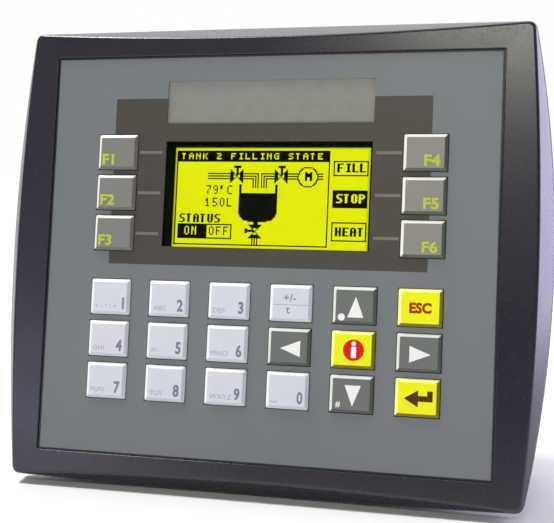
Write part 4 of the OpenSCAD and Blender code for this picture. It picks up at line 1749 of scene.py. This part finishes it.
@dataclass
class KeyDome(Assembly):
    """The thin metal dome under one key, built in its resting shape only."""

    key: str = "key_1"
    radius: float = 4.8
    thickness: float = 0.15
    travel: float = 0.6
    line: tuple[Point2, ...] = (
        (0, 1), (0.33, 0.91), (0.67, 0.73), (0.91, 0.5), (1, 0.25), (1, 0.06)
    )
    room: float = 0.02

    def build(self) -> None:
        """Builds the dome as one closed shell."""
        low, high = box_of("key_domes")
        centre = middle_of(self.key)
        rise = high.y - low.y
        outside = [(high.y - share * rise, r * self.radius) for share, r in self.line]
        inside = [
            (high.y - share * (rise - self.thickness), r * (self.radius - 2 * self.thickness))
            for share, r in reversed(self.line)
        ]
        shape = Shape()
        shape.turned(centre, inside + outside, 40)
        name = self.key.replace("key_", "dome_")
        dome = shape.piece(name, [SPRING], "terminal", ["key_domes"])
        gap = low.y - box_of(self.key)[1].y
        keep = (rise + gap - self.travel) / rise - self.room
        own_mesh(dome)


@dataclass
class Electronics(Assembly):
    """The boards and what is on them, inside the housing."""

    kept: tuple[Kept, ...] = (
        ("keypad_board", GREEN_BOARD),
        ("board_screws", ZINC),
        ("board_standoffs", BRASS),
        ("main_board", GREEN_BOARD),
        ("board_chips", BLACK_MOULDING),
        ("board_capacitors", SLEEVE),
        ("ribbon_cables", RIBBON),
        ("battery_holder", BLACK_MOULDING),
        ("backup_battery", SPRING),
    )


@dataclass
class RearHousing(Assembly):
    """The rear housing and its screws."""

    kept: tuple[Kept, ...] = (("housing_screws", ZINC),)
    rounded: tuple[Rounded, ...] = (
        ("rear_housing", "housing_shell", HOUSING, "terminal", "housing_plastic", 0.35),
    )


@dataclass
class Connectors(Assembly):
    """The connectors in the bay, with the plug and the cover that pull off."""

    kept: tuple[Kept, ...] = (("plug_screws", ZINC),)
    rounded: tuple[Rounded, ...] = (
        ("power_header", "supply_header", GREEN_MOULDING, "terminal", "terminal_green", 0.15),
        ("power_plug", "supply_plug", GREEN_MOULDING, "power_plug", "terminal_green", 0.15),
        ("serial_jacks", "modular_jacks", BLACK_MOULDING, "terminal", "chip_plastic", 0.15),
        ("module_connector", "box_header", BLACK_MOULDING, "terminal", "chip_plastic", 0.15),
        ("module_cover", "header_cover", HOUSING, "module_cover", "housing_plastic", 0.15),
    )


@dataclass
class Clamps(Assembly):
    """The four clamps: bracket, threaded screw and pad."""

    pitch: float = 0.7
    thread_depth: float = 0.38
    crest_share: float = 1.25
    run_in: float = 1.2
    run_out: float = 0.8
    sides: int = 20
    rows_per_turn: int = 5
    head_depth: float = 2.6
    head_ledge: float = 1.6
    head_bevel: float = 0.3
    slot_width: float = 1.0
    slot_depth_share: float = 0.45
    pad_wall: float = 2.35
    rounded: tuple[Rounded, ...] = (
        ("clamp_brackets", "hooked_brackets", ZINC, "terminal", "zinc_plate", 0.3),
    )

    def _thread(self, shape: Shape, centre: Point2, start: float, end: float, radius: float) -> None:
        """Adds the thread, which fades in at the tip and out below the head.

        Args:
            shape: The screw's mesh.
            centre: The screw's axis in X and Z.
            start: The depth of its tip.
            end: The depth of its head.
            radius: Its outer radius.
        """
        step = self.pitch / self.rows_per_turn
        loops = []
        for row in range(round((end - start) / step) + 1):
            y = start + row * step
            fade = min(1.0, (y - start) / self.run_in, max(0.0, (end - y) / self.run_out))
            tip = self.thread_depth * (1 - fade) if end - y >= self.run_out else 0.0
            loop = []
            for side in range(self.sides):
                angle = math.tau * side / self.sides
                turn = (y / self.pitch + side / self.sides) % 1
                crest = min(1.0, (1 - abs(2 * turn - 1)) * self.crest_share)
                r = radius - self.thread_depth * (1 - crest) * fade - tip
                loop.append((centre[0] + r * math.cos(angle), y, centre[1] + r * math.sin(angle)))
            loops.append(loop)
        shape.loft(loops)

    def _head(self, shape: Shape, centre: Point2, front: float, rear: float, radius: float) -> None:
        """Adds the slotted head.

        Args:
            shape: The screw's mesh.
            centre: The screw's axis in X and Z.
            front: The depth of the head's front.
            rear: The depth of its slotted end.
            radius: Its radius.
        """
        bevel, half = self.head_bevel, self.slot_width / 2
        floor = rear - self.head_depth * self.slot_depth_share
        line = ((front - 0.05, radius - bevel), (front + bevel, radius), (floor, radius))
        shape.turned(centre, line)
        start = math.acos(half / radius)
        arc = [start * (1 - 2 * i / 14) for i in range(15)]
        for sign in (-1, 1):
            outer, inner = (
                [
                    (
                        centre[0] + sign * max(half, reach * math.cos(a)),
                        centre[1] + reach * math.sin(a),
                    )
                    for a in arc
                ]
                for reach in (radius, radius - bevel)
            )
            ends = ((outer, floor - 0.02), (outer, rear - bevel), (inner, rear))
            shape.loft([at_depth(points, y) for points, y in ends])

    def _screw(self, node: str) -> None:
        """Builds one threaded screw with a slotted head.

        Args:
            node: The screw's node, which is its body too.
        """
        low, high = box_of(node)
        radius, head_y = (high.x - low.x) / 2, high.y - self.head_depth
        shape = Shape()
        self._thread(shape, middle_of(node), low.y, head_y, radius - self.head_ledge)
        self._head(shape, middle_of(node), head_y, high.y, radius)
        shape.piece(f"threaded_{node}", [ZINC], node, [node], smooth=50)

    def _pad(self, node: str) -> None:
        """Builds one pad, hollow where the screw's tip sits.

        Args:
            node: The pad's node, which is its body too.
        """
        low, high = box_of(node)
        radius = (high.x - low.x) / 2
        bore = radius - self.pad_wall
        line = (
            (high.y - 1.5, bore - 0.3), (high.y - 1.45, bore), (high.y - 0.2, bore),
            (high.y, bore + 0.2), (high.y, radius - 0.4), (high.y - 0.4, radius),
            (low.y + 0.5, radius), (low.y + 0.15, radius - 0.15), (low.y, radius - 0.5),
        )
        shape = Shape()
        shape.turned(middle_of(node), line, 40)
        shape.piece(f"nylon_{node}", [BLACK_MOULDING], node, [node], smooth=40)

    def build(self) -> None:
        """Builds the brackets, the screws and the pads."""
        super().build()
        for number in range(1, 5):
            self._screw(f"clamp_screw_{number}")
            self._pad(f"clamp_pad_{number}")


# Studio


def hang(name: str, light: bpy.types.Light, way: Vector, at: Point3 = (0, 0, 0)) -> None:
    """Hangs a light.

    Args:
        name: The lamp's name.
        light: The light.
        way: The way that it shines.
        at: Its place, in metres.
    """
    lamp = bpy.data.objects.new(name, light)
    lamp.location = at
    lamp.rotation_mode = "QUATERNION"
    lamp.rotation_quaternion = way.to_track_quat("-Z", "Y")
    bpy.context.scene.collection.objects.link(lamp)


@dataclass(frozen=True)
class Sun:
    """A far, soft light that travels one way."""

    name: str
    way: Point3
    power: float
    spread: float

    def shine(self) -> None:
        """Makes the sun."""
        light = bpy.data.lights.new(self.name, "SUN")
        light.energy = self.power
        light.angle = math.radians(self.spread)
        hang(self.name, light, Vector(self.way))


@dataclass(frozen=True)
class Lamp:
    """A soft square lamp, in metres and watts."""

    name: str
    at: Point3
    aim: Point3
    size: Point2
    power: float
    colour: tuple[float, float, float] = (1.0, 1.0, 1.0)

    def shine(self) -> None:
        """Makes the lamp."""
        light = bpy.data.lights.new(self.name, "AREA")
        light.shape = "RECTANGLE"
        light.size, light.size_y = self.size
        light.energy = self.power
        light.color = self.colour
        hang(self.name, light, Vector(self.aim) - Vector(self.at), self.at)


@dataclass
class Studio:
    """The floor, the lamps, the sky and the camera."""

    lamps: tuple[Sun | Lamp, ...] = (
        Sun("key_sun", (0.42, 0.16, -0.89), 2.6, 14),
        Lamp("window_lamp", (0.05, -0.88, 0.37), (0.06, 0, 0.06), (0.24, 0.12), 1.6, (1, 1, 0.85)),
        Lamp("low_lamp", (-0.5, -0.8, -0.13), (-0.08, 0, -0.06), (0.3, 0.16), 0.4, (0.7, 0.75, 1)),
        Lamp("fill_lamp", (-0.9, -1.1, 0.25), (-0.05, 0, 0), (1.0, 0.8), 0.8, (1, 0.9, 1)),
        Lamp("top_lamp", (-0.15, 0.4, 0.85), (0, 0, 0.07), (0.8, 0.5), 1.6),
        Lamp("side_lamp", (0.85, 0.25, 0.1), (0.09, 0, 0), (0.45, 0.9), 11.0, (0.74, 0.68, 1)),
    )
    eye: Point3 = (0.0915, -0.3451, -0.0232)
    bearing: float = 14.4214
    tilt: float = 3.6011
    roll: float = 2.4872
    lens: float = 69.93
    lean: float = 10.0
    floor_half: float = 4.0

    def _floor(self) -> None:
        """Lays the floor under the rim's lower edge and the housing's rear foot."""
        half, turn = self.floor_half, math.radians(self.lean)
        low = box_of("front_bezel")[0] * MM
        foot = Vector((0, -0.0008, low.z - 0.0001))
        mesh = bpy.data.meshes.new("floor")
        bm = bmesh.new()
        bmesh.ops.create_grid(bm, x_segments=8, y_segments=8, size=half)
        bm.to_mesh(mesh)
        bm.free()
        recipe = Recipe(bpy.data.materials.new("floor_paper"))
        grain = recipe.noise(1.5, 3)
        paper = recipe.surface(
            Base_Color=recipe.mix(grain, paint(243, 243, 243), paint(248, 248, 248)),
            Roughness=0.9,
            Specular_IOR_Level=0.1,
            Normal=recipe.bump(grain, 0.01),
        )
        mesh.materials.append(paper)
        floor = bpy.data.objects.new("floor", mesh)
        floor.matrix_world = Matrix.Translation(foot) @ Matrix.Rotation(turn, 4, "X")
        bpy.context.scene.collection.objects.link(floor)

    @staticmethod
    def _sky() -> None:
        """Makes a white sky that lights the terminal less from in front."""
        world = bpy.data.worlds.new("studio")
        recipe = Recipe(world)
        way = recipe.add("ShaderNodeTexCoord", output="Generated")
        split = recipe.add("ShaderNodeSeparateXYZ", inputs={0: way}, output="Y")
        light = recipe.add(
            "ShaderNodeMapRange",
            inputs={
                "Value": split,
                "From Min": -0.35,
                "From Max": 0.35,
                "To Min": 0.08,
                "To Max": 1.0,
            },
        )
        seen = recipe.add("ShaderNodeLightPath", output="Is Camera Ray")
        sky = recipe.add(
            "ShaderNodeBackground",
            inputs={"Color": (1.0, 1.0, 1.0, 1.0), "Strength": light.most(seen)},
        )
        recipe.add("ShaderNodeOutputWorld", inputs={"Surface": sky})
        bpy.context.scene.world = world

    def _camera(self) -> None:
        """Sets the camera a little to the right of the middle, looking slightly up."""
        turns = ((self.bearing, "Z"), (90 + self.tilt, "X"), (self.roll, "Z"))
        data = bpy.data.cameras.new("camera")
        data.lens = self.lens
        data.clip_start = 0.01
        data.clip_end = 20
        camera = bpy.data.objects.new("camera", data)
        camera.matrix_world = Matrix.Translation(self.eye)
        for angle, axis in turns:
            camera.matrix_world @= Matrix.Rotation(math.radians(angle), 4, axis)
        bpy.context.scene.collection.objects.link(camera)
        bpy.context.scene.camera = camera

    def build(self) -> None:
        """Sets up the studio."""
        self._floor()
        self._sky()
        self._camera()
        for lamp in self.lamps:
            lamp.shine()
        bpy.context.scene.view_settings.view_transform = "Standard"


def main() -> None:
    """Builds the studio and the terminal."""
    logging.basicConfig(level=logging.INFO, format="%(name)s: %(message)s")
    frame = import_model()
    Studio().build()
    nodes = frame["nodes"]
    assemblies: list[Callable[[], None]] = [
        FrontBezel(nodes).build,
        Facing(nodes).build,
        Display(nodes).build,
        *(KeyCap(nodes, plan=plan).build for plan in KEY_PLANS),
        *(KeyDome(nodes, key=plan.node).build for plan in KEY_PLANS),
        Electronics(nodes).build,
        RearHousing(nodes).build,
        Connectors(nodes).build,
        Clamps(nodes).build,
    ]
    for build in assemblies:
        build()


if __name__ == "__main__":
    main()
